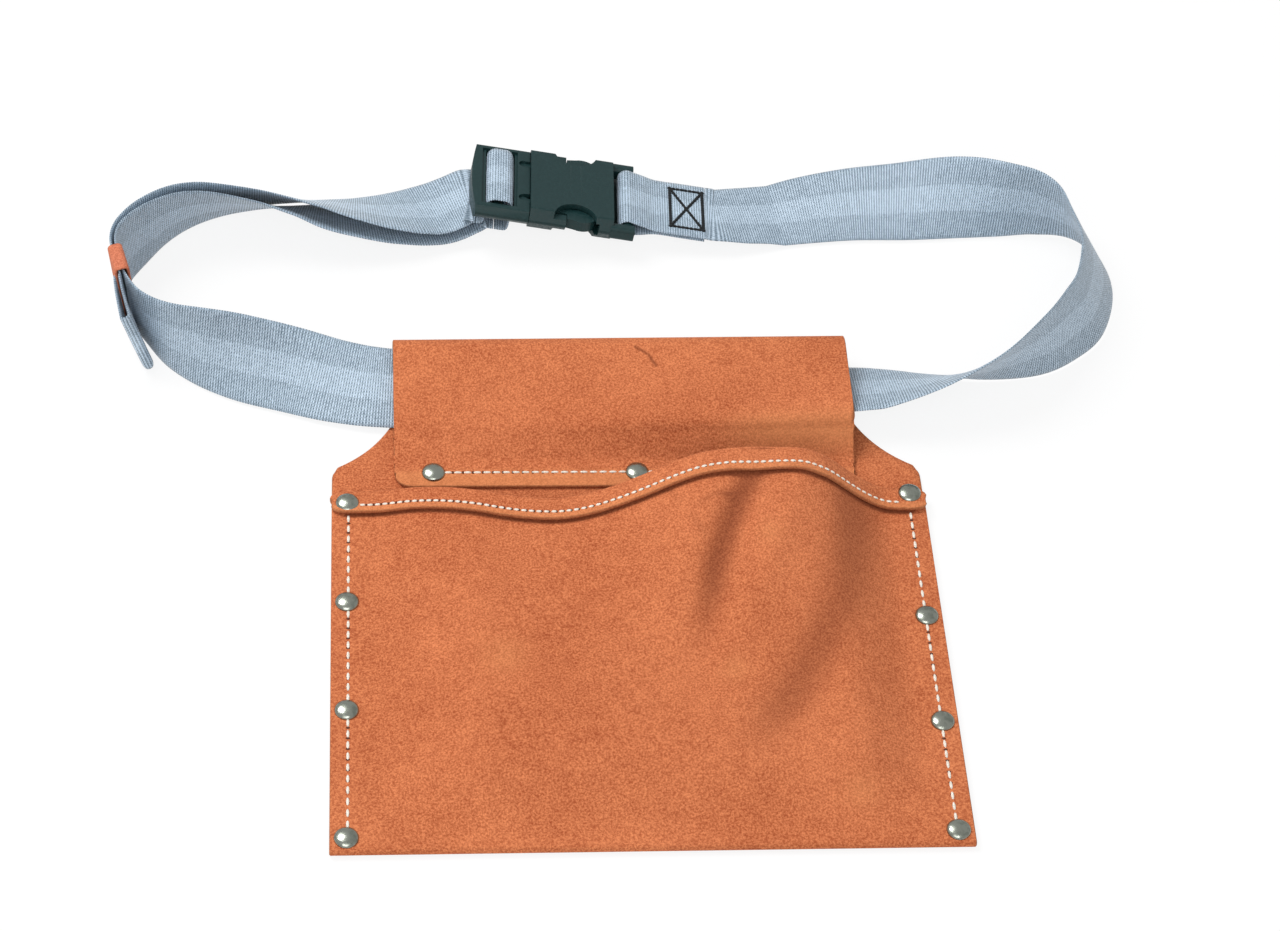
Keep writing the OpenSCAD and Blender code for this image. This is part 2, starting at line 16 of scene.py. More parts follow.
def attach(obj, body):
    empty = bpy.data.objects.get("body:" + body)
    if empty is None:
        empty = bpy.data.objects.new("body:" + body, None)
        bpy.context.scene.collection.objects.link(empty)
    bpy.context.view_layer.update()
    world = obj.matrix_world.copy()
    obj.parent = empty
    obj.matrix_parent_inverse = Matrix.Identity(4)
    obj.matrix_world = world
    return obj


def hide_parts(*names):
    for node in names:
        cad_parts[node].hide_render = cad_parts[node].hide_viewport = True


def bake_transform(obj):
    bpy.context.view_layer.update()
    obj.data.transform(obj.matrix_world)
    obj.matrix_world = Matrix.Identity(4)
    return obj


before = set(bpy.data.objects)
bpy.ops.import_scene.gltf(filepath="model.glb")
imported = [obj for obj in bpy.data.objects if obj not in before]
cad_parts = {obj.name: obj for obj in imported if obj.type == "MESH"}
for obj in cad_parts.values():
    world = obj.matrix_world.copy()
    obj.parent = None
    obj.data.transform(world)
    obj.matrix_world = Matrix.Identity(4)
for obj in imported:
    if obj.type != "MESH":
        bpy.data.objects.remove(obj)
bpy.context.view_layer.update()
scene = bpy.context.scene
MM = 0.001
print("nodes in the frame:", len(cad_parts))

# %% [markdown]
# ## Camera
# The photograph looks down at fifty degrees and is turned a little on its side. A long lens
# keeps the pouch's sides almost parallel, so the camera stands far off. It could be placed by
# eye, but three angles and a distance can each be changed without upsetting the others.

# %% Camera
AZIMUTH, ELEVATION, ROLL = (math.radians(a) for a in (7.75, 50.0, 5.7))
CAMERA_FAR = 1.6
SENSOR_WIDTH, LENS = 36, 99
LOOK_AT = Vector((6, -3, 0)) * MM

look = Vector((
    math.sin(AZIMUTH) * math.cos(ELEVATION),
    math.cos(AZIMUTH) * math.cos(ELEVATION),
    -math.sin(ELEVATION),
))
level = Vector((math.cos(AZIMUTH), -math.sin(AZIMUTH), 0))
upward = level.cross(look)
side = level * math.cos(ROLL) + upward * math.sin(ROLL)
top = upward * math.cos(ROLL) - level * math.sin(ROLL)
camera = bpy.data.objects.new("camera", bpy.data.cameras.new("camera"))
scene.collection.objects.link(camera)
turn = Matrix((side, top, -look)).transposed()
camera.matrix_world = Matrix.Translation(LOOK_AT - look * CAMERA_FAR) @ turn.to_4x4()
camera.data.sensor_width = SENSOR_WIDTH
camera.data.lens = LENS
scene.camera = camera
print("camera stands at", [round(c, 3) for c in camera.location])

# %% [markdown]
# ## Node helpers
# Every finish below is a small network of shader nodes. A few helpers keep them readable: one
# adds a node and fills in its sockets, one makes a group with named sockets, and the others
# stand for the nodes that are used most. Written out in full, the networks would be several
# times as long, and the numbers that make the look would be hard to find.


# %% Node helpers
def feed(tree, socket, value):
    """Links a socket to another one, or sets it to a plain value."""
    if isinstance(value, bpy.types.NodeSocket):
        tree.links.new(value, socket)
    else:
        socket.default_value = value


def add(tree, kind, **settings):
    """Adds a node. A setting named as a socket fills it or links to it; others are properties."""
    node = tree.nodes.new(kind)
    for key, value in settings.items():
        if hasattr(node, key) and key not in node.inputs:
            setattr(node, key, value)
    for key, value in settings.items():
        name = key.replace("__", " ")
        socket = next((s for s in node.inputs if s.name == name and s.enabled), None)
        if name.startswith("in") and name[2:].isdigit():
            socket = node.inputs[int(name[2:])]
        if socket is not None:
            feed(tree, socket, value)
    return node


def group(name, kind, inputs, outputs):
    """Makes a node group with named sockets and returns it with its two end nodes."""
    tree = bpy.data.node_groups.new(name, kind)
    for label, socket, value in inputs:
        made = tree.interface.new_socket(label, in_out="INPUT", socket_type=socket)
        if value is not None:
            made.default_value = value
    for label, socket in outputs:
        tree.interface.new_socket(label, in_out="OUTPUT", socket_type=socket)
    return tree, tree.nodes.new("NodeGroupInput"), tree.nodes.new("NodeGroupOutput")


print("node helpers ready")


# %% Shader helpers
def mixed(tree, factor, a, b):
    """Colour a turning into colour b by factor."""
    node = tree.nodes.new("ShaderNodeMix")
    node.data_type = "RGBA"
    for socket, value in zip((node.inputs[0], node.inputs[6], node.inputs[7]), (factor, a, b)):
        feed(tree, socket, value)
    return node.outputs[2]


def span(tree, value, low, high, to_low=0.0, to_high=1.0):
    """Maps a value from one span to another, held at its ends."""
    node = tree.nodes.new("ShaderNodeMapRange")
    node.interpolation_type = "SMOOTHSTEP"
    tree.links.new(value, node.inputs[0])
    for socket, number in zip(list(node.inputs)[1:5], (low, high, to_low, to_high)):
        socket.default_value = number
    return node.outputs[0]


def sums(tree, operation, a, b=0.0, c=0.0):
    """One step of arithmetic on values or sockets."""
    node = tree.nodes.new("ShaderNodeMath")
    node.operation = operation
    for socket, value in zip(node.inputs, (a, b, c)):
        feed(tree, socket, value)
    return node.outputs[0]


def noise(tree, place, scale, detail=3.0, rough=0.55):
    """Cloudy noise, finer as its scale grows."""
    node = tree.nodes.new("ShaderNodeTexNoise")
    tree.links.new(place, node.inputs["Vector"])
    node.inputs["Scale"].default_value = scale
    node.inputs["Detail"].default_value = detail
    node.inputs["Roughness"].default_value = rough
    return node.outputs["Fac"]


def finish(name, rough, **shader):
    """New material with its Principled shader; returns material, tree and shader."""
    material = bpy.data.materials.new(name)
    material.use_nodes = True
    tree = material.node_tree
    bsdf = tree.nodes["Principled BSDF"]
    bsdf.inputs["Roughness"].default_value = rough
    for key, value in shader.items():
        bsdf.inputs[key.replace("__", " ")].default_value = value
    return material, tree, bsdf


def bump(tree, bsdf, height, strength, reach):
    """Relief on a shader from a height."""
    node = add(tree, "ShaderNodeBump", Height=height, Strength=strength, Distance=reach)
    tree.links.new(node.outputs[0], bsdf.inputs["Normal"])


print("shader helpers ready")

# %% [markdown]
# ## Suede
# The pouch is split leather with the rough side out. Its colour is a warm orange tan that
# never lies quite even: broad clouds where the nap is brushed, a mottle of a few millimetres,
# and a fine fibre grain. A picture of leather could be wrapped round it, but it would repeat and
# stretch at the folds. So all three are noise of different size on Object coordinates, in one
# group that the panels, the cut edges and the keeper share. A shade value above zero paints
# shade into folds and creases. One below zero shows where handling has worn the nap lighter,
# and on the flap's drop at the right it paints light.

# %% Suede group
suede, suede_in, suede_out = group(
    "suede_nap", "ShaderNodeTree",
    [("Place", "NodeSocketVector", None),
     ("Dark", "NodeSocketColor", (0.36, 0.08, 0.03, 1)),
     ("Light", "NodeSocketColor", (0.76, 0.25, 0.10, 1)),
     ("Shade", "NodeSocketFloat", 0.0)],
    [("Color", "NodeSocketColor"), ("Roughness", "NodeSocketFloat"), ("Height", "NodeSocketFloat")],
)
place = suede_in.outputs["Place"]
clouds = span(suede, noise(suede, place, 16, 3), 0.30, 0.70)
mottle = span(suede, noise(suede, place, 150, 4, 0.6), 0.28, 0.72)
fibre = span(suede, noise(suede, place, 1100, 4, 0.75), 0.34, 0.66)
tone = sums(suede, "MULTIPLY_ADD", clouds, 0.16, 0.10)
tone = sums(suede, "MULTIPLY_ADD", mottle, 0.13, tone)
tone = sums(suede, "MULTIPLY_ADD", fibre, 0.68, tone)
hide = mixed(suede, tone, suede_in.outputs["Dark"], suede_in.outputs["Light"])
# Below zero the shade value lightens the nap: wear from handling, and painted light on the flap's drop.
rub_and_painted_light = span(suede, suede_in.outputs["Shade"], -1.0, 0.0, 1.0, 0.0)
hide = mixed(suede, rub_and_painted_light, hide, (0.76, 0.31, 0.12, 1))
# Above zero it mixes in a dark colour: painted shade for folds, creases and under the hem's raw edge.
painted_shade_mask = span(suede, suede_in.outputs["Shade"], 0.0, 1.0)
painted_shade_colour = mixed(suede, fibre, (0.19, 0.046, 0.018, 1), (0.33, 0.092, 0.038, 1))
hide = mixed(suede, painted_shade_mask, hide, painted_shade_colour)
suede.links.new(hide, suede_out.inputs["Color"])
suede.links.new(span(suede, mottle, 0, 1, 0.84, 0.96), suede_out.inputs["Roughness"])
relief = sums(suede, "MULTIPLY_ADD", fibre, 0.5, sums(suede, "MULTIPLY", mottle, 0.5))
suede.links.new(relief, suede_out.inputs["Height"])


def suede_material(name, dark, light, grain=0.35):
    """Leather with the nap of the group between two colours."""
    material, tree, bsdf = finish(name, 0.9, Sheen__Weight=0.05, Sheen__Roughness=0.6,
                                  Sheen__Tint=(1.0, 0.6, 0.35, 1), Specular__IOR__Level=0.1)
    place = add(tree, "ShaderNodeTexCoord").outputs["Object"]
    # The attribute holds painted shade and light for folds, creases and slopes, and the wear of handling.
    shade = add(tree, "ShaderNodeAttribute", attribute_name="fold_shade").outputs["Fac"]
    nap = add(tree, "ShaderNodeGroup", node_tree=suede, Place=place, Dark=dark, Light=light, Shade=shade)
    tree.links.new(nap.outputs["Color"], bsdf.inputs["Base Color"])
    tree.links.new(nap.outputs["Roughness"], bsdf.inputs["Roughness"])
    bump(tree, bsdf, nap.outputs["Height"], grain, 0.0006)
    return material


pouch_suede = suede_material("pouch_suede", (0.235, 0.030, 0.006, 1), (0.71, 0.236, 0.098, 1))
cut_edge = suede_material("cut_leather_edge", (0.26, 0.07, 0.025, 1), (0.56, 0.21, 0.09, 1), 0.6)
keeper_suede = suede_material("keeper_suede", (0.30, 0.065, 0.03, 1), (0.68, 0.23, 0.13, 1))
print("suede finishes:", pouch_suede.name, cut_edge.name, keeper_suede.name)

# %% [markdown]
# ## Leather sheets
# The pouch is cut from leather two millimetres thick. A flat panel could be a plane with a
# Solidify modifier, but these roll over the strap, fold at the foot and turn back at the rim.
# So a panel is a grid of points through the middle of its thickness. Both faces lie half a
# thickness to either side along the grid's own normals, and the cut edge between them is rounded
# by two extra loops. One helper makes every panel of the pouch in this way, and a few small ones
# draw its curves, folds and marks. The sizes of all pieces are in millimetres.


# %% Mesh helpers
def mesh_object(name, points, faces, materials):
    """Smooth shaded object from points in metres and faces."""
    mesh = bpy.data.meshes.new(name)
    mesh.from_pydata([tuple(p) for p in points], [], [tuple(int(i) for i in f) for f in faces])
    for material in materials:
        mesh.materials.append(material)
    mesh.polygons.foreach_set("use_smooth", [True] * len(mesh.polygons))
    obj = bpy.data.objects.new(name, mesh)
    scene.collection.objects.link(obj)
    return obj


def outward(mesh):
    """Turns all faces of a mesh outwards."""
    work = bmesh.new()
    work.from_mesh(mesh)
    bmesh.ops.recalc_face_normals(work, faces=work.faces)
    work.to_mesh(mesh)
    work.free()


def sheet_normals(grid):
    """Unit normals of a grid of points."""
    normal = np.cross(np.gradient(grid, axis=0), np.gradient(grid, axis=1))
    return normal / np.maximum(np.linalg.norm(normal, axis=2, keepdims=True), 1e-9)


print("mesh helpers ready")

# %% Leather sheet helper
LEATHER = 2.0
EDGE_ROUND, EDGE_LOOP = 0.45, 0.22


def leather_sheet(name, grid, materials, shade=None):
    """Panel of leather through a grid of points, with its cut edge in the last material."""
    rows, cols = grid.shape[:2]
    normal = sheet_normals(grid)
    # Both faces stop a little short of the border, so the directions out over it are needed.
    along, across = np.gradient(grid, axis=0), np.gradient(grid, axis=1)
    along /= np.linalg.norm(along, axis=2, keepdims=True)
    across /= np.linalg.norm(across, axis=2, keepdims=True)
    out = np.zeros_like(grid)
    out[0] -= along[0]
    out[-1] += along[-1]
    out[:, 0] -= across[:, 0]
    out[:, -1] += across[:, -1]
    out /= np.maximum(np.linalg.norm(out, axis=2, keepdims=True), 1e-9)
    front = grid + normal * LEATHER / 2 - out * EDGE_ROUND
    back = grid - normal * LEATHER / 2 - out * EDGE_ROUND
    # The border is one ring, and two loops along it round the cut edge.
    ring = ([(r, 0) for r in range(rows)] + [(rows - 1, c) for c in range(1, cols)]
            + [(r, cols - 1) for r in range(rows - 2, -1, -1)] + [(0, c) for c in range(cols - 2, 0, -1)])
    index = np.array(ring)
    loops = [grid[index[:, 0], index[:, 1]] + normal[index[:, 0], index[:, 1]] * LEATHER * s
             for s in (EDGE_LOOP, -EDGE_LOOP)]
    points = np.concatenate([front.reshape(-1, 3), back.reshape(-1, 3), *loops]) * MM
    cell = np.arange(rows * cols).reshape(rows, cols)
    quads = np.stack([cell[:-1, :-1], cell[1:, :-1], cell[1:, 1:], cell[:-1, 1:]], -1).reshape(-1, 4)
    under = quads[:, ::-1] + rows * cols
    strips = [cell[index[:, 0], index[:, 1]]]
    first = 2 * rows * cols
    strips += [first + np.arange(len(ring)), first + len(ring) + np.arange(len(ring))]
    strips += [strips[0] + rows * cols]
    edges = []
    for a, b in zip(strips[:-1], strips[1:]):
        edges += [(a[i], b[i], b[(i + 1) % len(ring)], a[(i + 1) % len(ring)]) for i in range(len(ring))]
    obj = mesh_object(name, points, [*quads, *under, *edges], materials)
    # The edge takes the last material, and the faces carry painted shade and light and the wear of
    # handling.
    skin = 2 * len(quads)
    indices = np.zeros(len(obj.data.polygons), np.int32)
    indices[skin:] = len(materials) - 1
    obj.data.polygons.foreach_set("material_index", indices)
    values = np.zeros(len(points), np.float32)
    if shade is not None:
        values[:rows * cols] = shade.ravel()
        values[rows * cols:2 * rows * cols] = shade.ravel()
    obj.data.attributes.new("fold_shade", "FLOAT", "POINT").data.foreach_set("value", values)
    outward(obj.data)
    return obj


print("leather sheet helper ready")

# %% Curves, folds and marks
CURVE_STEPS = 24


def soft(a, b, x):
    """Smooth rise from 0 at a to 1 at b."""
    s = np.clip((x - a) / (b - a), 0, 1)
    return s * s * (3 - 2 * s)


def hump(centre, reach, x):
    """Smooth hill of height 1 that ends at its reach."""
    s = np.minimum(1, np.abs(x - centre) / reach)
    return (1 - s * s) ** 2


def bell(distance, width):
    """Hill of height 1 that fades with distance."""
    return np.exp(-(distance / width) ** 2)


def marked(x, y, points, width):
    """Bell across a drawn line of points, fading with the distance from the nearest stretch."""
    near = np.full(np.shape(x), 1e9)
    for (ax, ay), (bx, by) in zip(points[:-1], points[1:]):
        share = ((x - ax) * (bx - ax) + (y - ay) * (by - ay)) / ((bx - ax) ** 2 + (by - ay) ** 2)
        share = np.clip(share, 0, 1)
        near = np.minimum(near, np.hypot(x - ax - share * (bx - ax), y - ay - share * (by - ay)))
    return bell(near, width)


def arc_line(cx, cy, r, start, end, count):
    """Points on an arc between two angles in degrees."""
    angles = np.radians(np.linspace(start, end, count))
    return [(cx + r * math.cos(a), cy + r * math.sin(a)) for a in angles]


def lengths_along(line):
    """Length run from the start of a line to each of its points."""
    return np.concatenate([[0], np.cumsum(np.linalg.norm(np.diff(line, axis=0), axis=1))])


def flow(stations, steps):
    """Smooth row through stations, with a number of steps from each to the next."""
    p = np.array(stations, float)
    padded = np.concatenate([p[:1], p, p[-1:]])
    rows = []
    for i in range(len(p) - 1):
        a, b, c, d = padded[i:i + 4]
        for s in np.arange(steps) / steps:
            rows.append(0.5 * (2 * b + (c - a) * s + (2 * a - 5 * b + 4 * c - d) * s ** 2
                               + (3 * b - a - 3 * c + d) * s ** 3))
    return np.array(rows + [p[-1]])


def through(points, count):
    """Smooth curve through points, resampled at equal steps of length."""
    fine = flow(points, CURVE_STEPS)
    run = lengths_along(fine)
    want = np.linspace(0, run[-1], count)
    return np.stack([np.interp(want, run, fine[:, k]) for k in range(fine.shape[1])], -1)


print("curve helpers ready")

# %% [markdown]
# ## Back panel
# The back is flat. Its outline has a neck the width of the loop, hollow shoulders and a body
# that grows a little wider towards the foot. It could be filled in from a curve, but rows that
# take their half width from the outline make a clean grid, which the sheet helper needs.

# %% Back panel
HALF, FLARE, FOOT, SHOULDER = 133.5, 1.8, -212.0, -5.0
HALF_FLAP, ROLL_Y, ROLL_R = 105.5, 52.5, 9.5
NECK_Y, SHOULDER_INSET, HOLLOW = 22.0, 2.4, 2.1
CORNER, FOOT_CORNER = 6.0, 5.0
slope = np.linspace(0, 1, 60)
dip = HOLLOW * 4 * slope * (1 - slope)
slope_x = HALF - SHOULDER_INSET + (HALF_FLAP - HALF + SHOULDER_INSET) * slope - dip
slope_y = SHOULDER + (NECK_Y - SHOULDER) * slope - dip


def flare(y):
    """Growth of the pouch's width from the shoulders to the foot."""
    return 1 + FLARE / HALF * (SHOULDER - y) / (SHOULDER - FOOT)


def back_half(y):
    """Half width of the back panel at y."""
    if y >= SHOULDER - CORNER:
        corner_y = np.concatenate([[SHOULDER - CORNER, SHOULDER - 4, SHOULDER - 2.1], slope_y])
        corner_x = np.concatenate([[HALF, HALF - 0.35, HALF - 1.4], slope_x])
        return float(np.interp(y, corner_y, corner_x))
    rise = min(FOOT_CORNER, y - FOOT)
    rounding = math.sqrt(max(0, FOOT_CORNER ** 2 - (FOOT_CORNER - rise) ** 2))
    return HALF * flare(y) - FOOT_CORNER + rounding


rows_y = np.unique(np.concatenate([
    np.linspace(FOOT + 0.8, FOOT + CORNER, 9), np.linspace(FOOT + CORNER, SHOULDER - CORNER, 40),
    np.linspace(SHOULDER - CORNER, SHOULDER, 9), np.linspace(SHOULDER, NECK_Y, 24),
    np.linspace(NECK_Y, ROLL_Y, 10)]))
spread = np.linspace(-1, 1, 61)
back_grid = np.array([[(back_half(y) * s, y, LEATHER / 2) for s in spread] for y in rows_y])
back = leather_sheet("pouch_back", back_grid[:, ::-1], [pouch_suede, cut_edge])
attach(back, "pouch")
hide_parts("back_panel")
print("back panel rows:", len(rows_y))

# %% [markdown]
# ## Belt loop flap
# The neck rolls forward over the strap and is sewn down across the pouch. The section is a
# half roll, then an almost flat face, then a drop to the seam. It gapes more at the right,
# where the strap stands on edge inside it. A modifier could bend a flat strip, but only by the
# same amount all along, so the side view is drawn anew at every column. A thin dark line of
# painted shade marks a crease in the roll near the middle. The nap is worn lighter along the
# sewn margin, and light is painted onto the drop at the right, which faces away from the main lamp.

# %% Belt loop flap
FLAP_FOOT, GAPE_LEFT, GAPE_RIGHT, SEAT = -18.0, 8.0, 21.0, 3.05
FLAP_RIGHT = HALF_FLAP - 2.0
FLAP_CORNER, FLAP_TOP_Z, FLAP_POINTS, ROLL_CREASE_WIDTH = 8.0, 6.0, 150, 0.8
ROLL_CREASE = [(5.7, 51.7), (11.5, 47.8), (14.8, 41.5)]


def flap_section(x):
    """Side view of the flap at x, from the roll down to its foot."""
    share = (x + HALF_FLAP) / (2 * HALF_FLAP)
    gape = GAPE_LEFT + (GAPE_RIGHT - GAPE_LEFT) * share
    inset = min(FLAP_CORNER, HALF_FLAP + x, FLAP_RIGHT - x)
    foot = FLAP_FOOT + FLAP_CORNER - math.sqrt(FLAP_CORNER ** 2 - (FLAP_CORNER - inset) ** 2)
    half_roll = ROLL_R + share
    roll = arc_line(ROLL_Y, half_roll, half_roll - LEATHER / 2, -88, 95, 12)
    face = [(34, gape * 0.5 + half_roll - 1), (13.5, gape - 1), (7.2, gape * 0.62 + 0.6),
            (2, gape * 0.2 + 2.9), (-3.1, SEAT), (foot * 0.5 - 1.5, SEAT), (foot, SEAT)]
    return [(x, y, z) for y, z in through(roll + face, FLAP_POINTS)]


edge_steps = np.array([0, 0.6, 1.6, 3, 5, FLAP_CORNER])
roll_crease_x = np.arange(3, 18, 0.6)
flap_x = np.unique(np.concatenate([-HALF_FLAP + edge_steps, np.linspace(-96, 94, 71), roll_crease_x,
                                   FLAP_RIGHT - edge_steps]))
flap_grid = np.array([flap_section(x) for x in flap_x])
loop_x, loop_y = flap_grid[..., 0], flap_grid[..., 1]
ripple = (np.sin(loop_x * 0.055 + 1.0) * np.sin(loop_y * 0.09) * 0.5
          * soft(-2, 16, loop_y) * (1 - soft(44, 54, loop_y)))
flap_grid[..., 2] += ripple * (flap_grid[..., 2] > FLAP_TOP_Z)
flap_top = flap_grid[..., 2] > FLAP_TOP_Z
# A thin dark line of painted shade along a crease in the roll.
flap_shade = 0.9 * marked(loop_x, loop_y, ROLL_CREASE, ROLL_CREASE_WIDTH) * flap_top
flap_shade -= 0.40 * soft(-6, -11, loop_y)
# Painted light on the drop at the right, which faces away from the main lamp.
flap_shade -= 0.45 * soft(20, 70, loop_x) * bell(loop_y - 7, 8)
flap = leather_sheet("belt_loop", flap_grid, [pouch_suede, cut_edge], shade=flap_shade)
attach(flap, "pouch")
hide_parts("belt_loop_fold", "belt_loop_flap")
print("flap grid:", flap_grid.shape)

# %% [markdown]
# ## Front panel
# The front of the pocket is folded up from the foot, swells over the nails it has carried and
# ends in a rim that is folded outwards and sewn down. The mouth stands open at the right. A
# narrow valley and a broad one run down from it with a ridge between them, and the seams hold
# the panel flat along its sides. A cloth simulation could give folds, but not these ones. So each
# fold is a drawn line with a width and a depth, which puts it where the photograph shows it.

# %% Front shape
FRONT_Z, BELLY, MOUTH, MOUTH_X, MARGIN = 2.05, 10.0, 16.0, 52.0, 15.0
RIM, HEM, HEM_R, FOOT_R = -23.5, 11.0, 1.12, 1.02
RIM_CORNER, RIM_DROP, RIM_DIP, RIM_RISE = 6.0, 3.5, 12.6, 3.5


def swell(x):
    """Share of the pocket's swelling at x, nothing at the seams."""
    return soft(0, np.where(x < 0, 55.0, 34.0), HALF - MARGIN - np.abs(x))


def rim_line(x):
    """Height of the rim at x, low at the left and raised behind the mouth."""
    return RIM - RIM_DIP * hump(-35, 70, x) + RIM_RISE * hump(MOUTH_X + 12, 62, x)


def along_line(x, y, points):
    """Distance across a drawn line at height y, with the line's x read from points."""
    ys = np.array([p[1] for p in points], float)
    xs = np.array([p[0] for p in points], float)
    order = np.argsort(ys)
    return x - np.interp(y, ys[order], xs[order])


VALLEY_WIDTH, BAND_WIDTH, RIDGE_WIDTH = 8, 15, 8
VALLEY_DEEP, BAND_DEEP, RIDGE_HIGH, WAVE_HIGH = 4.2, 2.6, 1.6, 0.5
VALLEY = [(58, -22), (45, -46), (36, -70), (31, -92), (27, -112), (24, -130)]
BAND = [(100, -20), (95, -60), (90, -91), (76, -118), (61, -144), (50, -166)]
RIDGE = [(76, -28), (66, -55), (57, -75), (47, -103), (42, -120)]


def valley_depth(x, y):
    """Narrow valley, 1 along its line and fading out low on the pocket."""
    return bell(along_line(x, y, VALLEY), VALLEY_WIDTH) * soft(-138, -70, y)


def band_depth(x, y):
    """Broad valley to the right of it, which runs on further down."""
    return bell(along_line(x, y, BAND), BAND_WIDTH) * soft(-190, -140, y)


def front_height(x, y):
    """Height of the panel's inner face, with belly, mouth and folds."""
    base = FRONT_Z + swell(x) * BELLY * soft(FOOT + 2, FOOT + 45, y)
    base = base + swell(x) * MOUTH * hump(MOUTH_X, 88, x) * soft(-140, RIM, y)
    folds = -VALLEY_DEEP * valley_depth(x, y) * soft(-16, -54, y)
    folds = folds - BAND_DEEP * band_depth(x, y) * swell(x) ** 0.5
    folds = folds + RIDGE_HIGH * bell(along_line(x, y, RIDGE), RIDGE_WIDTH) * soft(-130, -70, y)
    folds = folds + WAVE_HIGH * np.sin(x * 0.05 + y * 0.021) * np.sin(y * 0.045 + 1.3)
    return base + folds * swell(x) * soft(FOOT + 4, FOOT + 50, y)


print("fold lines:", len(VALLEY), len(BAND), len(RIDGE), "points")

# %% Front panel
HEM_ROWS, CREASE_WIDTH, RAW_SHADOW_WIDTH = 12, 1.6, 1.3
VALLEY_SHADE, BAND_SHADE, CREASE_SHADE, RUB_SHADE, HEM_SHADE = 0.80, 0.58, 0.35, -0.30, -0.35
CREASES = [[(14, -36), (20, -44)], [(28, -46), (36, -41), (44, -42)], [(24, -52), (29, -60)]]
RUBS = [((39, -128), 9), ((88, -188), 10), ((58, -62), 8), ((-60, -120), 14)]


def front_section(x):
    """Side view of the front panel at x, from the foot's fold to the raw edge of the hem."""
    inset = min(RIM_CORNER, HALF - abs(x))
    corner = RIM_DROP - RIM_DROP * math.sqrt(1 - (1 - inset / RIM_CORNER) ** 2)
    top = float(rim_line(x)) - corner
    raw = top - HEM + 2 * corner
    ys = np.concatenate([np.linspace(FOOT + 1, raw - 3, 84), np.linspace(raw - 2.4, raw + 2.4, 13),
                         np.linspace(raw + 3.2, top, 6)])
    lift = LEATHER / 2
    foot = arc_line(FOOT + 1, FRONT_Z, FOOT_R, -90, -250, 6)
    face = [(y, float(front_height(x, y)) + lift) for y in ys]
    bend = arc_line(top, face[-1][1] + HEM_R, HEM_R, -70, 90, 8)
    hem = [(y, float(front_height(x, y)) + lift + 2 * HEM_R + 0.8 * soft(0.4, 1, (top - y) / HEM))
           for y in np.linspace(top - 0.8, raw, HEM_ROWS)]
    return [(x * flare(y), y, z) for y, z in foot + face + bend + hem]


side_steps = np.array([0, 0.5, 1.5, 3])
front_x = np.concatenate([-HALF + side_steps, np.linspace(-129, 129, 141), HALF - side_steps[::-1]])
front_grid = np.array([front_section(x) for x in front_x])
hide_x, hide_y = front_grid[..., 0], front_grid[..., 1]
# Painted shade darkens the two valleys beyond the shade of their real depth.
front_shade = VALLEY_SHADE * valley_depth(hide_x, hide_y) + BAND_SHADE * band_depth(hide_x, hide_y)
# The creases are only painted shade, with no depth of their own.
for crease in CREASES:
    front_shade += CREASE_SHADE * marked(hide_x, hide_y, crease, CREASE_WIDTH)
for (rub_x, rub_y), reach in RUBS:
    front_shade += RUB_SHADE * bell(np.hypot(hide_x - rub_x, hide_y - rub_y), reach)
front_shade *= hide_y < rim_line(hide_x)
# A dark line of painted shadow lies under the raw edge of the hem, and the hem itself is worn lighter near
# it.
raw_line = rim_line(front_x)[:, None] - HEM
front_shade += bell(hide_y - raw_line, RAW_SHADOW_WIDTH) * (np.abs(front_x) < HALF - RIM_CORNER)[:, None]
front_shade[:, -HEM_ROWS:] = HEM_SHADE * soft(5.5, 2.5, np.linspace(HEM - 0.8, 0, HEM_ROWS))
front = leather_sheet("pocket_front", front_grid, [pouch_suede, cut_edge], shade=front_shade)
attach(front, "pouch")
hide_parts("front_panel")
print("front grid:", front_grid.shape)

# %% [markdown]
# ## Nickel rivets
# Capped rivets hold the corners and seams. They could be turned one by one, but all caps are
# alike. So a Geometry Nodes tree turns a sphere into a low dome by flattening its lower half and
# sets one on every point of a small point mesh. The result is then made a plain mesh. The burrs
# at the back keep the solids' own shape.

# %% Rivet finish
scuff, scuff_in, scuff_out = group(
    "handling_scuffs", "ShaderNodeTree",
    [("Place", "NodeSocketVector", None), ("Size", "NodeSocketFloat", 300.0)],
    [("Mask", "NodeSocketFloat"), ("Height", "NodeSocketFloat")],
)
spots = scuff.nodes.new("ShaderNodeTexNoise")
scuff.links.new(scuff_in.outputs["Place"], spots.inputs["Vector"])
scuff.links.new(scuff_in.outputs["Size"], spots.inputs["Scale"])
spots.inputs["Detail"].default_value = 5
scuff.links.new(span(scuff, spots.outputs["Fac"], 0.42, 0.68), scuff_out.inputs["Mask"])
scuff.links.new(spots.outputs["Fac"], scuff_out.inputs["Height"])


def hard_material(name, base, worn, rough, size, height, **shader):
    """Metal or plastic with handling scuffs of a given size and height."""
    material, tree, bsdf = finish(name, rough, **shader)
    place = add(tree, "ShaderNodeTexCoord").outputs["Object"]
    wear = add(tree, "ShaderNodeGroup", node_tree=scuff, Place=place, Size=size)
    worn_rough = span(tree, wear.outputs["Mask"], 0, 1, rough * 0.85, rough * 1.3)
    tree.links.new(mixed(tree, wear.outputs["Mask"], base, worn), bsdf.inputs["Base Color"])
    tree.links.new(worn_rough, bsdf.inputs["Roughness"])
    bump(tree, bsdf, wear.outputs["Height"], height, 0.0004)
    return material


# The grey-green base is darker than bright nickel: painted shade for the dark surroundings that the domes
# reflect.
nickel = hard_material("nickel_plate", (0.36, 0.38, 0.33, 1), (0.24, 0.26, 0.22, 1), 0.26, 420, 0.12,
                       Metallic=1.0)
print("rivet finish:", nickel.name)

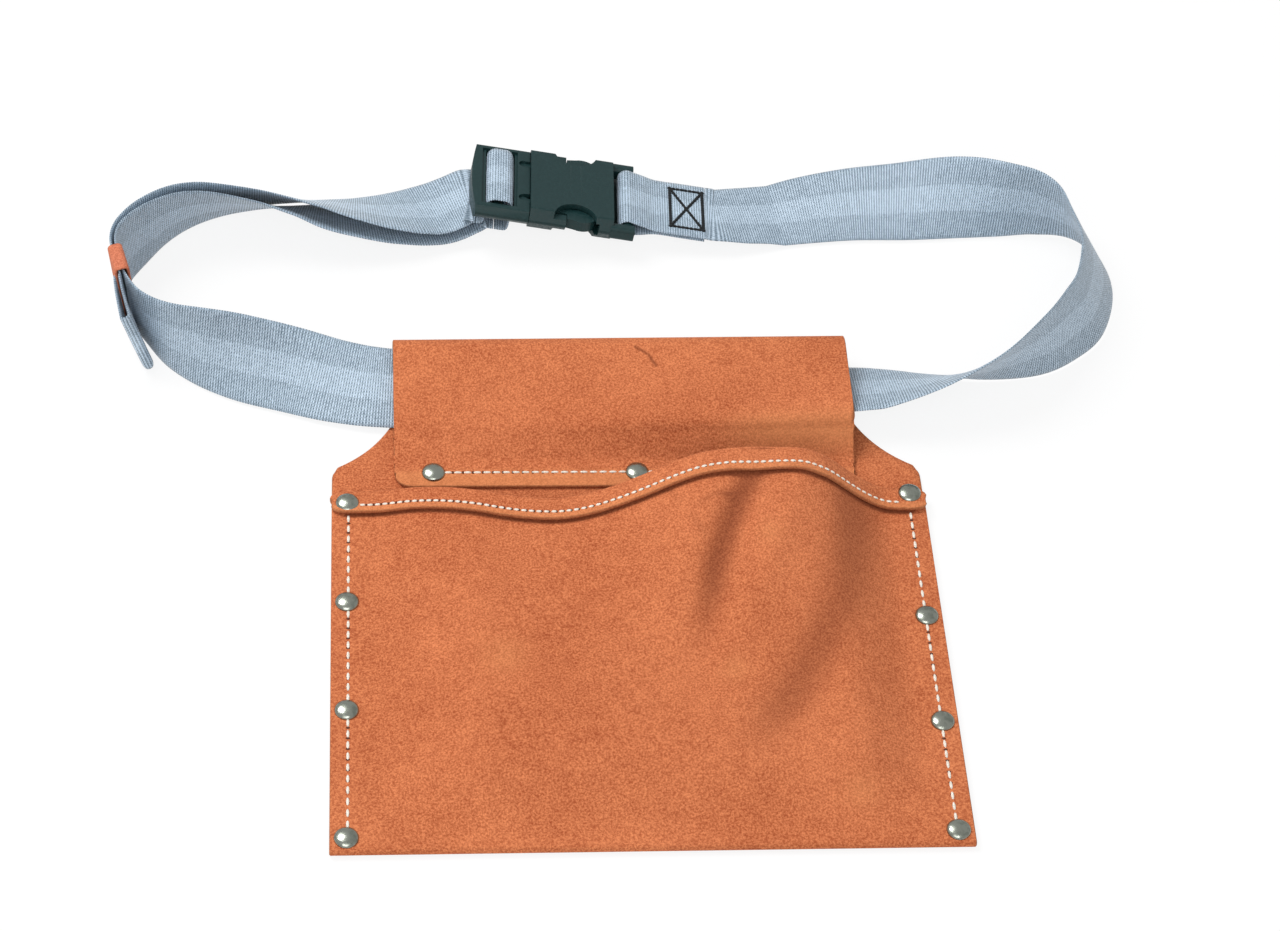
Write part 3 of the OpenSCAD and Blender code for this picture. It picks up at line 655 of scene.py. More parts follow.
# %% Rivet tree
CAP_R, CAP_H = 5.25, 2.2
rivets, rivets_in, rivets_out = group(
    "rivet_caps", "GeometryNodeTree",
    [("Places", "NodeSocketGeometry", None), ("Radius", "NodeSocketFloat", CAP_R * MM),
     ("Height", "NodeSocketFloat", CAP_H * MM), ("Finish", "NodeSocketMaterial", None)],
    [("Mesh", "NodeSocketGeometry")],
)
ball = add(rivets, "GeometryNodeMeshUVSphere", Segments=40, Rings=24, Radius=1.0)
where = add(rivets, "GeometryNodeInputPosition")
kept = add(rivets, "ShaderNodeVectorMath", operation="MAXIMUM", in0=where.outputs[0], in1=(-9, -9, 0))
size = add(rivets, "ShaderNodeCombineXYZ", X=rivets_in.outputs["Radius"], Y=rivets_in.outputs["Radius"],
           Z=rivets_in.outputs["Height"])
shaped = add(rivets, "ShaderNodeVectorMath", operation="MULTIPLY", in0=kept.outputs[0], in1=size.outputs[0])
dome = add(rivets, "GeometryNodeSetPosition", Geometry=ball.outputs["Mesh"], Position=shaped.outputs[0])
spread_out = add(rivets, "GeometryNodeInstanceOnPoints", Points=rivets_in.outputs["Places"],
                 Instance=dome.outputs[0])
real = add(rivets, "GeometryNodeRealizeInstances", Geometry=spread_out.outputs[0])
smooth = add(rivets, "GeometryNodeSetShadeSmooth", Geometry=real.outputs[0])
painted = add(rivets, "GeometryNodeSetMaterial", Geometry=smooth.outputs[0],
              Material=rivets_in.outputs["Finish"])
rivets.links.new(painted.outputs[0], rivets_out.inputs[0])
print("rivet tree nodes:", len(rivets.nodes))


# %% Growing helper
def grown(name, points, edges, tree, ups=None, **values):
    """Runs a Geometry Nodes tree on a small mesh and returns the plain result."""
    mesh = bpy.data.meshes.new(name + "_places")
    mesh.from_pydata([tuple(c * MM for c in p) for p in points], edges, [])
    if ups is not None:
        flat = np.array(ups, np.float32).ravel()
        mesh.attributes.new("up_dir", "FLOAT_VECTOR", "POINT").data.foreach_set("vector", flat)
    seedbed = bpy.data.objects.new(name + "_places", mesh)
    scene.collection.objects.link(seedbed)
    modifier = seedbed.modifiers.new("grow", "NODES")
    modifier.node_group = tree
    for item in tree.interface.items_tree:
        if item.in_out == "INPUT" and item.name in values:
            modifier[item.identifier] = values[item.name]
    graph = bpy.context.evaluated_depsgraph_get()
    made = bpy.data.meshes.new_from_object(seedbed.evaluated_get(graph))
    made.name = name
    seedbed.modifiers.remove(modifier)
    bpy.data.objects.remove(seedbed)
    obj = bpy.data.objects.new(name, made)
    scene.collection.objects.link(obj)
    return obj


print("growing helper ready")

# %% Rivets
RIVET_X, STACK = HALF - 7, 4.1
LEFT_RIVETS, RIGHT_RIVETS = (-29, -83, -141, -206), (-25, -93, -150, -206)
FLAP_RIVETS, FLAP_SEAM_Y = (-88, 4, 90), -10
side_places = [(s * RIVET_X * flare(y), y, STACK + (LEATHER if i == 0 else 0))
               for s, ys in ((-1, LEFT_RIVETS), (1, RIGHT_RIVETS)) for i, y in enumerate(ys)]
flap_places = [(x, FLAP_SEAM_Y, STACK) for x in FLAP_RIVETS]
for name, places, node in (("side_rivets", side_places, "side_rivet_caps"),
                           ("loop_rivets", flap_places, "flap_rivet_caps")):
    caps = grown(name, places, [], rivets, Finish=nickel)
    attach(caps, "pouch")
    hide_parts(node)
for node in ("side_rivet_burrs", "flap_rivet_burrs"):
    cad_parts[node].data.materials.clear()
    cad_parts[node].data.materials.append(nickel)
print("rivets:", len(side_places) + len(flap_places))

# %% [markdown]
# ## Stitches
# White thread runs along both side seams, the loop's seam and the rim. Stitches could be painted
# on, but real ones stand proud and catch the light, so each is a small rounded mesh. A path
# carries its own upward direction at each point, so one tree can lay stitches on any surface: it
# resamples the path by the stitch pitch and sets a stitch on each sample. A second pass, moved by
# half a pitch, sets the dark needle holes, small beads of painted shade for the hollow of each hole.

# %% Thread finishes
def thread_material(name, dark, light, sheen=0.0):
    """Twisted thread between two colours."""
    material, tree, bsdf = finish(name, 0.75, Sheen__Weight=sheen, Specular__IOR__Level=0.3)
    place = add(tree, "ShaderNodeTexCoord").outputs["Object"]
    ply = span(tree, noise(tree, place, 2600, 2), 0.3, 0.7)
    tree.links.new(mixed(tree, ply, dark, light), bsdf.inputs["Base Color"])
    bump(tree, bsdf, ply, 0.4, 0.0002)
    return material


white_thread = thread_material("white_thread", (0.62, 0.55, 0.45, 1), (0.92, 0.88, 0.80, 1), 0.1)
black_thread = thread_material("black_thread", (0.004, 0.005, 0.006, 1), (0.014, 0.016, 0.018, 1))
# The needle holes' dark colour is painted shade for the hollows of the holes.
needle_hole_shade = thread_material("needle_hole_shade", (0.06, 0.018, 0.008, 1), (0.14, 0.04, 0.02, 1))
print("threads:", white_thread.name, black_thread.name, needle_hole_shade.name)

# %% Stitch tree
stitches, stitch_in, stitch_out = group(
    "stitch_run", "GeometryNodeTree",
    [("Path", "NodeSocketGeometry", None), ("Pitch", "NodeSocketFloat", 0.0043),
     ("Start", "NodeSocketFloat", 0.0), ("Half Length", "NodeSocketFloat", 0.0017),
     ("Half Width", "NodeSocketFloat", 0.0005), ("Half Height", "NodeSocketFloat", 0.0004),
     ("Finish", "NodeSocketMaterial", None)],
    [("Mesh", "NodeSocketGeometry")],
)
wire = add(stitches, "GeometryNodeMeshToCurve", Mesh=stitch_in.outputs["Path"])
cut = add(stitches, "GeometryNodeTrimCurve", mode="LENGTH", Curve=wire.outputs[0])
for socket in cut.inputs:
    if socket.enabled and socket.name == "Start":
        stitches.links.new(stitch_in.outputs["Start"], socket)
    if socket.enabled and socket.name == "End":
        socket.default_value = 99.0
beads = add(stitches, "GeometryNodeResampleCurve", mode="LENGTH", Curve=cut.outputs[0],
            Length=stitch_in.outputs["Pitch"])
heading = add(stitches, "GeometryNodeInputTangent")
up_dir = add(stitches, "GeometryNodeInputNamedAttribute", data_type="FLOAT_VECTOR", Name="up_dir")
aimed = add(stitches, "FunctionNodeAlignRotationToVector", axis="X", Vector=heading.outputs[0])
turned = add(stitches, "FunctionNodeAlignRotationToVector", axis="Z", pivot_axis="X",
             Rotation=aimed.outputs[0], Vector=up_dir.outputs[0])
bead = add(stitches, "GeometryNodeMeshUVSphere", Segments=8, Rings=6, Radius=1.0)
lengths = add(stitches, "ShaderNodeCombineXYZ", X=stitch_in.outputs["Half Length"],
              Y=stitch_in.outputs["Half Width"], Z=stitch_in.outputs["Half Height"])
sewn = add(stitches, "GeometryNodeInstanceOnPoints", Points=beads.outputs[0], Instance=bead.outputs["Mesh"],
           Rotation=turned.outputs[0], Scale=lengths.outputs[0])
solid = add(stitches, "GeometryNodeRealizeInstances", Geometry=sewn.outputs[0])
rounded = add(stitches, "GeometryNodeSetShadeSmooth", Geometry=solid.outputs[0])
dyed = add(stitches, "GeometryNodeSetMaterial", Geometry=rounded.outputs[0],
           Material=stitch_in.outputs["Finish"])
stitches.links.new(dyed.outputs[0], stitch_out.inputs[0])
print("stitch tree nodes:", len(stitches.nodes))

# %% Sewing helper
HOLE_HALF = (0.62, 0.95, 0.16)
UP = (0, 0, 1)


def sew(name, paths, ups, body, pitch=4.3, thread=white_thread, half=(1.85, 0.62, 0.46), hole=True):
    """Stitches of a half size along open paths, with needle holes; returns the stitches."""
    points, normals, edges = [], [], []
    for path, up in zip(paths, ups):
        start = len(points)
        points += [tuple(p) for p in path]
        normals += [tuple(u) for u in up]
        edges += [(start + i, start + i + 1) for i in range(len(path) - 1)]
    passes = [(name, 0.0, half, thread)]
    if hole:
        passes.append((name + "_holes", pitch / 2, HOLE_HALF, needle_hole_shade))
    made = []
    for label, start, (length, width, height), material in passes:
        piece = grown(label, points, edges, stitches, normals, Pitch=pitch * MM, Start=start * MM,
                      Finish=material, **{"Half Length": length * MM, "Half Width": width * MM,
                                          "Half Height": height * MM})
        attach(piece, body)
        made.append(piece)
    return made[0]


def straight(a, b, count=30):
    """Evenly spaced points from a to b."""
    a, b = np.array(a, float), np.array(b, float)
    return a + (b - a) * np.linspace(0, 1, count)[:, None]


print("sewing helper ready")

# %% Side seams, loop seam and rim seam
RIVET_CLEAR, THREAD_Z, SHORTEST_RUN = 6.6, 4.05, 4
RIM_SEAM_HALF, RIM_SEAM_ROW = 121, 5


def between(stops, start, end):
    """Stretches of a seam left between the rivets."""
    way = 1 if end > start else -1
    marks = [start]
    for stop in sorted(stops, reverse=way < 0):
        marks += [stop - way * RIVET_CLEAR, stop + way * RIVET_CLEAR]
    marks.append(end)
    return [(a, b) for a, b in zip(marks[0::2], marks[1::2]) if way * (b - a) > SHORTEST_RUN]


for name, s, stops, node in (("left_seam", -1, LEFT_RIVETS[1:], "left_seam_thread"),
                             ("right_seam", 1, RIGHT_RIVETS[1:], "right_seam_thread")):
    runs = [straight(*((s * (RIVET_X * flare(y) - 0.5), y, THREAD_Z) for y in ends))
            for ends in between(stops, RIM - HEM - 2, FOOT + 1)]
    thread = sew(name, runs, [[UP] * len(r) for r in runs], "pouch", pitch=5.2, half=(2.15, 0.72, 0.5))
    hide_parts(node)
runs = [straight((a, FLAP_SEAM_Y, THREAD_Z), (b, FLAP_SEAM_Y, THREAD_Z))
        for a, b in between(FLAP_RIVETS, -HALF_FLAP + 10, FLAP_RIGHT - 4)]
loop_seam = sew("loop_seam", runs, [[UP] * len(r) for r in runs], "pouch")
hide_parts("flap_seam_thread")

front_normal = sheet_normals(front_grid)
hem_column = front_grid.shape[1] - RIM_SEAM_ROW
inside = np.abs(front_x) < RIM_SEAM_HALF
rim_path = (front_grid - front_normal * LEATHER / 2)[inside, hem_column]
rim_up = -front_normal[inside, hem_column]
rim_seam = sew("rim_seam", [rim_path], [rim_up], "pouch", pitch=3.3, half=(1.3, 0.7, 0.5))
print("rim seam samples:", int(inside.sum()))

# %% [markdown]
# ## Webbing
# The strap is a flat ribbon forty millimetres wide, woven in three bands with fine cross ribs.
# Modelling every yarn would take millions of faces, and at this distance only their light and
# shade is seen. So the weave is a shader. A ribbon with a rounded section is swept along each
# stretch, and its UV map holds the place across and the length along, so that the weave follows
# every twist.

# %% Webbing finish
weave, weave_in, weave_out = group(
    "webbing_weave", "ShaderNodeTree",
    [("Map", "NodeSocketVector", None), ("Place", "NodeSocketVector", None),
     ("Rib", "NodeSocketFloat", 0.0012)],
    [("Color", "NodeSocketColor"), ("Roughness", "NodeSocketFloat"), ("Height", "NodeSocketFloat")],
)
parts = add(weave, "ShaderNodeSeparateXYZ", Vector=weave_in.outputs["Map"])
across_u, along_v = parts.outputs["X"], parts.outputs["Y"]
turns = sums(weave, "DIVIDE", along_v, weave_in.outputs["Rib"])
band = sums(weave, "COMPARE", across_u, 0.5, 0.165)
ribs = sums(weave, "SINE", sums(weave, "MULTIPLY", turns, 2 * math.pi))
ends = sums(weave, "MULTIPLY", across_u, 52.0)
half_turn = sums(weave, "MULTIPLY_ADD", sums(weave, "ROUND", ends), 0.5, turns)
twill = sums(weave, "SINE", sums(weave, "MULTIPLY", half_turn, 2 * math.pi))
yarn = sums(weave, "ABSOLUTE", sums(weave, "SINE", sums(weave, "MULTIPLY", ends, math.pi)))
cloth = sums(weave, "MULTIPLY_ADD", twill, 0.22, sums(weave, "MULTIPLY_ADD", ribs, 0.30, 0.5))
cloth = sums(weave, "MULTIPLY", cloth, sums(weave, "MULTIPLY_ADD", yarn, 0.35, 0.65))
uneven = noise(weave, weave_in.outputs["Place"], 260, 3)
# Fine noise gives the fuzz of the fibres, and its strength also paints glints as light specks.
fuzz_and_glints = span(weave, noise(weave, weave_in.outputs["Place"], 1100, 3, 0.7), 0.3, 0.7)
tone = sums(weave, "MULTIPLY_ADD", cloth, 0.82, sums(weave, "MULTIPLY", uneven, 0.22))
tone = sums(weave, "MULTIPLY_ADD", band, 0.10, tone)
tone = sums(weave, "MULTIPLY_ADD", fuzz_and_glints, 0.28, tone)
grey = mixed(weave, span(weave, tone, 0.22, 1.06), (0.06, 0.105, 0.148, 1), (0.56, 0.69, 0.82, 1))
weave.links.new(grey, weave_out.inputs["Color"])
weave.links.new(span(weave, cloth, 0, 1, 0.56, 0.36), weave_out.inputs["Roughness"])
weave.links.new(cloth, weave_out.inputs["Height"])

webbing, web_tree, web_bsdf = finish("grey_webbing", 0.5, Sheen__Weight=0.15, Specular__IOR__Level=0.65)
web_map = add(web_tree, "ShaderNodeUVMap", uv_map="weave").outputs[0]
web_place = add(web_tree, "ShaderNodeTexCoord").outputs["Object"]
web_group = add(web_tree, "ShaderNodeGroup", node_tree=weave, Map=web_map, Place=web_place)
web_tree.links.new(web_group.outputs["Color"], web_bsdf.inputs["Base Color"])
web_tree.links.new(web_group.outputs["Roughness"], web_bsdf.inputs["Roughness"])
bump(web_tree, web_bsdf, web_group.outputs["Height"], 0.5, 0.0004)
print("webbing finish:", webbing.name)

# %% Webbing helper
STRAP_W, STRAP_T = 40.0, 1.4
RIBBON_COLS = 22


def ribbon(name, centres, across, facing, first=0.0):
    """Woven ribbon along centres, with its width along across and its outer face along facing."""
    v = np.linspace(-1, 1, RIBBON_COLS)
    middle_band, selvage = np.abs(v) < 0.31, np.abs(v) > 0.93
    half_t = 0.5 * STRAP_T * np.sqrt(np.clip(1 - np.abs(v) ** 14, 0, 1))
    half_t = half_t * (0.90 + 0.10 * middle_band + 0.08 * selvage)
    half_t[[0, -1]] = 0.10 * STRAP_T
    offset = np.concatenate([v, v[::-1]]) * STRAP_W / 2
    height = np.concatenate([half_t, -half_t[::-1]])
    n, m = len(centres), 2 * RIBBON_COLS
    points = (centres[:, None] + across[:, None] * offset[None, :, None]
              + facing[:, None] * height[None, :, None]).reshape(-1, 3)
    cell = np.arange(n * m).reshape(n, m)
    nxt = np.roll(cell, -1, axis=1)
    quads = np.stack([cell[:-1], nxt[:-1], nxt[1:], cell[1:]], -1).reshape(-1, 4)
    caps = []
    for ring in (cell[0], cell[-1]):
        caps += [(ring[j], ring[j + 1], ring[m - 2 - j], ring[m - 1 - j]) for j in range(RIBBON_COLS - 1)]
    obj = mesh_object(name, points * MM, [*quads, *caps], [webbing])
    run = first + lengths_along(centres)
    place_u = (offset / STRAP_W + 0.5)[None].repeat(n, 0).ravel()
    place_v = (run * MM)[:, None].repeat(m, 1).ravel()
    outward(obj.data)
    layer = obj.data.uv_layers.new(name="weave")
    corner = np.zeros(len(obj.data.loops), np.int32)
    obj.data.loops.foreach_get("vertex_index", corner)
    uv = np.stack([place_u[corner], place_v[corner]], -1).astype(np.float32)
    layer.data.foreach_set("uv", uv.ravel())
    return obj, run[-1]


print("webbing helper ready")

# %% [markdown]
# ## Route of the strap
# The strap stands on edge at both bends and lies flat at the buckle. Its route is the same row
# of stations as the solid's. A station is a place on the floor, the height of the strap's lowest
# edge, and its tilt in degrees, where 0 lies flat and 90 stands on edge. Stations at the buckle
# are given along the buckle's own line, because it lies turned, pitched and leaning.

# %% Strap stations
TURN, PITCH, LEAN = (math.radians(a) for a in (-4, 8, 8))
BUCKLE = np.array((-39.4, 155.2, 17.8))
turned_frame = (Matrix.Rotation(TURN, 3, "Z") @ Matrix.Rotation(PITCH, 3, "Y")
                @ Matrix.Rotation(-LEAN, 3, "X"))
BUCKLE_U, BUCKLE_V, BUCKLE_W = (np.array(c) for c in turned_frame.transposed())


def in_buckle(u, v, w):
    """Place in the frame of a point given along, across and above the buckle."""
    return BUCKLE + u * BUCKLE_U + v * BUCKLE_V + w * BUCKLE_W


def buckle_at(u, w):
    """Station on the buckle's own line, as in the solid's route."""
    x, y, z = in_buckle(u, 0, w)
    return (x, y, z - STRAP_W / 2 * math.sin(LEAN) - STRAP_T / 2 * math.cos(LEAN), math.degrees(LEAN))


LOW, SEWN_END, LOOP_W, MAIN_W, TAIL_W = 0.6, 86.6, 0.75, -12, -10
BELT_STATIONS = [
    buckle_at(SEWN_END - 8, LOOP_W), buckle_at(SEWN_END + 0.7, LOOP_W), buckle_at(SEWN_END + 6, LOOP_W),
    (62, 150, 1.7, 5), (76, 152, 1, 2), (94, 154.4, LOW, -6), (117, 156, LOW, -14),
    (141, 155, LOW, -24), (164, 152, LOW, -44), (187, 146.5, LOW, -69),
    (206.5, 142, LOW, -88), (222, 131, LOW, -112), (229.5, 108, LOW, -120),
    (223.5, 82, LOW, -118), (212, 66, LOW, -110), (196, 52, LOW, -95),
    (171, 40, LOW, -66), (146, 35, 1.4, -42), (122, 34, 2.4, -24), (106, 34, 2.8, -19),
    (50, 34, 2.8, -10), (0, 34.4, 2.8, -2), (-50, 35.5, 2.8, 6), (-106, 36.6, 2.6, 15),
    (-130, 40, 1.6, 20.5), (-152, 45.2, 0.8, 31), (-174, 48.3, LOW, 49), (-192, 52, LOW, 68),
    (-207, 58, 1, 84), (-218, 67, 2, 94), (-225.2, 78, 2.8, 95), (-227.3, 86, 2.8, 95),
    (-229.4, 94, 2.8, 95), (-230.4, 101, 2.8, 95), (-228, 109.5, 2.6, 94), (-220.5, 120.6, 1.4, 90),
    (-209, 132, LOW, 80), (-197, 138.8, LOW, 70), (-183, 142.7, LOW, 60),
    (-165, 144.4, LOW, 49), (-150, 143.6, LOW, 40), (-136, 142.8, LOW, 29),
    (-122, 143, LOW, 21.5), (-108, 144.4, LOW, 14), (-95, 147, LOW, 8),
    (-85, 149.6, LOW, 5), (-76, 152, 1.4, 5), (-68, 153.8, 3.4, 6.5),
    buckle_at(-20.6, MAIN_W), buckle_at(-17.5, MAIN_W), buckle_at(-14.4, MAIN_W),
]
TAIL_STATIONS = [
    buckle_at(-23.2, TAIL_W), buckle_at(-25.6, TAIL_W), buckle_at(-28, TAIL_W),
    (-75, 154.4, 5.4, 8), (-82, 152.4, 3.4, 8.5), (-89, 150.2, 2.8, 10), (-97, 147.8, 2.8, 15),
    (-108, 145.8, 2.8, 22.5), (-122, 145.2, 2.6, 32), (-136, 146.4, 2, 41), (-150, 147.8, 1.2, 48),
    (-166, 148.3, LOW, 56), (-184, 146.6, LOW, 64.5),
    (-198.6, 142.6, LOW, 74), (-211.2, 135.6, LOW, 82.5), (-222.4, 123.6, 1.4, 91),
    (-230, 111, 2.6, 94), (-232.6, 101.2, 2.8, 95), (-231.5, 93.5, 2.8, 95), (-229.4, 85.4, 2.8, 95),
    (-227.3, 77.4, 2.8, 95.5),
]
HEM_STATIONS = [
    (-221.8, 55.5, 1, 104.5), (-224.2, 62.5, 1.6, 102), (-226.6, 69.5, 2.2, 99), (-228.4, 76.2, 2.8, 96.5),
]
STRAP_STEPS = 10


def strap_frame(row):
    """Centre line, width direction and outer face of a strap along its row."""
    ahead = np.gradient(row[:, :2], axis=0)
    ahead /= np.linalg.norm(ahead, axis=1, keepdims=True)
    tilt = np.radians(row[:, 3])
    across = np.stack([-ahead[:, 1] * np.cos(tilt), ahead[:, 0] * np.cos(tilt), -np.sin(tilt)], -1)
    facing = np.stack([-ahead[:, 1] * np.sin(tilt), ahead[:, 0] * np.sin(tilt), np.cos(tilt)], -1)
    centres = row[:, :3].copy()
    centres[:, 2] += np.abs(across[:, 2]) * STRAP_W / 2 + np.abs(facing[:, 2]) * STRAP_T / 2
    return centres, across, facing


print("strap stations:", len(BELT_STATIONS) + len(TAIL_STATIONS))

# %% [markdown]
# ## The strap in its stretches
# The stretch from the socket round both bends moves as one body. The last stretch to the plug
# and the tail cross the plug's slide. Fixed to one body they would tear off the other, so they
# are fixed to none: their points are baked into place.

# %% Strap pieces
SPLIT_STATION = 39
FIRST, SPLIT = STRAP_STEPS - 1, SPLIT_STATION * STRAP_STEPS
belt_line = strap_frame(flow(BELT_STATIONS, STRAP_STEPS))
main, main_run = ribbon("belt_webbing", *(a[FIRST:SPLIT + 1] for a in belt_line))
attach(main, "belt")
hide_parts("strap_front", "strap_right")
back_left = ribbon("plug_side_webbing", *(a[SPLIT:] for a in belt_line), first=main_run)[0]
tail_line = strap_frame(flow(TAIL_STATIONS[::-1], STRAP_STEPS))
tail = ribbon("tail_webbing", *tail_line)[0]
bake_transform(back_left)
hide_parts("strap_back_left")
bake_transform(tail)
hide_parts("strap_tail")
print("belt length, sewn loop to split:", round(main_run), "mm")

# %% [markdown]
# ## Wrap, sewn loop and tail hem
# At the plug the strap goes up and over the ladder's centre bar. At the socket it goes round the
# end bar and is sewn back under itself with a boxed cross. The tail's end is folded back on
# itself as a hem. Stations alone are too coarse for such tight turns. So the wrap and the sewn
# loop are side views drawn with arcs, and the hem runs along its stations, round a bend and back.
# All three use the same ribbon helper, which keeps one weave on the whole strap.


# %% Wrap and sewn loop
def profile_ribbon(name, line):
    """Ribbon across the buckle, whose side view is a line of points along and above it."""
    centres = np.array([in_buckle(u, 0, w) for u, w in line])
    ahead = np.gradient(centres, axis=0)
    ahead /= np.linalg.norm(ahead, axis=1, keepdims=True)
    across = np.repeat(BUCKLE_V[None], len(line), 0)
    facing = np.cross(ahead, across)
    facing /= np.linalg.norm(facing, axis=1, keepdims=True)
    return ribbon(name, centres, across, facing)[0]


WRAP_W, WRAP_R, END_BAR_U, END_BAR_R = 1.2, 4.0, 48, 4.1
wrap_up = [(-23.2, TAIL_W), (-21.6, TAIL_W + 0.2), (-20.4, TAIL_W + 1.4), (-20.2, -6), (-20.2, -2)]
wrap_over = arc_line(-16.2, WRAP_W, WRAP_R, 180, 90, 7) + arc_line(-12.2, WRAP_W, WRAP_R, 90, 0, 7)
wrap_down = [(-8.2, -4), (-8.2, -8), (-8.3, MAIN_W + 1.8), (-9.2, MAIN_W + 0.3), (-11, MAIN_W),
             (-14.4, MAIN_W)]
wrap_line = through(wrap_up + wrap_over + wrap_down, 90)
wrap = profile_ribbon("plug_wrap_webbing", wrap_line)
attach(wrap, "plug")
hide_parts("strap_adjuster_wrap")

loop_over = [(SEWN_END, LOOP_W), (74, LOOP_W), (62, LOOP_W), (55, 2.4)]
loop_under = [(55, -2.4), (62, -LOOP_W), (74, -LOOP_W), (SEWN_END - 1, -LOOP_W)]
loop_line = through(loop_over + arc_line(END_BAR_U, 0, END_BAR_R, 60, 300, 15) + loop_under, 110)
sewn_loop = profile_ribbon("socket_loop_webbing", loop_line)
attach(sewn_loop, "belt")
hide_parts("strap_buckle_loop")
print("ribbons at the buckle:", wrap.name, sewn_loop.name)

# %% Tail hem
BEND_POINTS, HEM_SPREAD = 9, (2.0, 1.15)


def there_and_back(rows):
    """Rows of one layer, held through the hem's bend and run again for the other layer."""
    return np.concatenate([rows[::-1], np.repeat(rows[:1], BEND_POINTS, 0), rows])


hem_mid, hem_across, hem_out = strap_frame(flow(HEM_STATIONS, STRAP_STEPS))
hem_ahead = np.cross(hem_across[:1], hem_out[:1])
bend = np.radians(np.linspace(-72, 72, BEND_POINTS))[:, None]
bend_out = np.sin(bend) * hem_out[:1] - np.cos(bend) * hem_ahead
hem_facing = np.concatenate([-hem_out[::-1], bend_out, hem_out])
half_gap = there_and_back(np.linspace(*HEM_SPREAD, len(hem_mid)))[:, None]
hem_centres = there_and_back(hem_mid) + half_gap * hem_facing
hem = ribbon("tail_hem_webbing", hem_centres, there_and_back(hem_across), hem_facing)[0]
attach(hem, "belt")
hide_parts("tail_hem")
print("tail hem rows:", len(hem_centres))

# %% Box stitch
BOX = [(69, -14.5), (85, -14.5), (85, 14.5), (69, 14.5)]
BOX_W, BOX_SAMPLES = 2 * LOOP_W, 16
box_runs = [[BOX[a], BOX[b]] for a, b in ((0, 1), (1, 2), (2, 3), (3, 0), (0, 2), (1, 3))]
box_paths = [np.array([in_buckle(u, v, BOX_W) for u, v in straight(a, b, BOX_SAMPLES)])
             for a, b in box_runs]
box_ups = [[tuple(BUCKLE_W)] * BOX_SAMPLES] * len(box_runs)
box_seam = sew("box_stitch", box_paths, box_ups, "belt", pitch=1.9, thread=black_thread,
               half=(1.2, 0.9, 0.5), hole=False)
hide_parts("box_stitch_thread")
print("box stitch lines:", len(box_runs))

# %% [markdown]
# ## Keeper
# A short band of thinner leather holds the tail against the strap at the left bend. It could be
# a sheet bent round, but a closed loop has no join to hide. So its section is a rounded slot that
# is carried along the strap.

# %% Keeper
KEEPER_L, KEEPER_T, ROOM_W, ROOM_H = 16.0, 1.2, 4.4, 41.0
KEEPER_TURN, KEEPER_TILT, KEEPER_ROUND = math.radians(14.5), math.radians(-5), 0.4
lean = Matrix.Rotation(KEEPER_TURN, 3, "Z") @ Matrix.Rotation(KEEPER_TILT, 3, "Y")
keeper_at = Vector((-228.35, 86, 2.8 + STRAP_W / 2))


def slot_ring(w, h, r):
    """Outline of a slot w wide and h high with corners of radius r."""
    ring = []
    for sx, sz, start in ((1, 1, 0), (-1, 1, 90), (-1, -1, 180), (1, -1, 270)):
        ring += arc_line(sx * (w / 2 - r), sz * (h / 2 - r), r, start, start + 90, 8)
    return ring


outer_ring = slot_ring(ROOM_W + 2 * KEEPER_T, ROOM_H + 2 * KEEPER_T, 2.4)
inner_ring = slot_ring(ROOM_W, ROOM_H, 0.9)
edge_ring = [tuple((np.array(a) + np.array(b)) / 2) for a, b in zip(outer_ring, inner_ring)]
half_l = KEEPER_L / 2
face_end = half_l - KEEPER_ROUND
lanes = [(outer_ring, y) for y in np.linspace(-face_end, face_end, 9)]
lanes.append((edge_ring, half_l))
lanes += [(inner_ring, y) for y in np.linspace(face_end, -face_end, 5)]
lanes.append((edge_ring, -half_l))
keeper_points = [keeper_at + lean @ Vector((x, y, z)) for ring, y in lanes for x, z in ring]
count = len(outer_ring)
keeper_faces = [(a * count + j, b * count + j, b * count + (j + 1) % count, a * count + (j + 1) % count)
                for a, b in zip(range(len(lanes)), [*range(1, len(lanes)), 0]) for j in range(count)]
keeper = mesh_object("strap_keeper_leather", [p * MM for p in keeper_points], keeper_faces, [keeper_suede])
outward(keeper.data)
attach(keeper, "keeper")
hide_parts("strap_keeper")
print("keeper faces:", len(keeper_faces))

# %% [markdown]
# ## Buckle
# The buckle is moulded black plastic with a slight green cast. Modelling it again could spoil
# the fit of prongs and socket. Its solids already have the right form, so they keep their shape
# and get softened edges and the moulded finish, which has the same scuffs as the rivets.

# %% Buckle finish
moulded = hard_material("moulded_plastic", (0.006, 0.027, 0.028, 1), (0.011, 0.036, 0.037, 1), 0.45, 900,
                        0.10, Specular__IOR__Level=0.32)
MOULDED_NODES = ("buckle_socket", "buckle_plug", "upper_prong", "lower_prong")
for node in MOULDED_NODES:
    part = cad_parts[node]
    part.data.materials.clear()
    part.data.materials.append(moulded)
    joined = part.modifiers.new("join_faces", "WELD")
    joined.merge_threshold = 0.00001
    softened = part.modifiers.new("soft_edges", "BEVEL")
    softened.width = 0.0006
    softened.segments = 3
    softened.limit_method = "ANGLE"
    softened.angle_limit = math.radians(35)
    softened.harden_normals = True
print("moulded parts:", len(MOULDED_NODES))
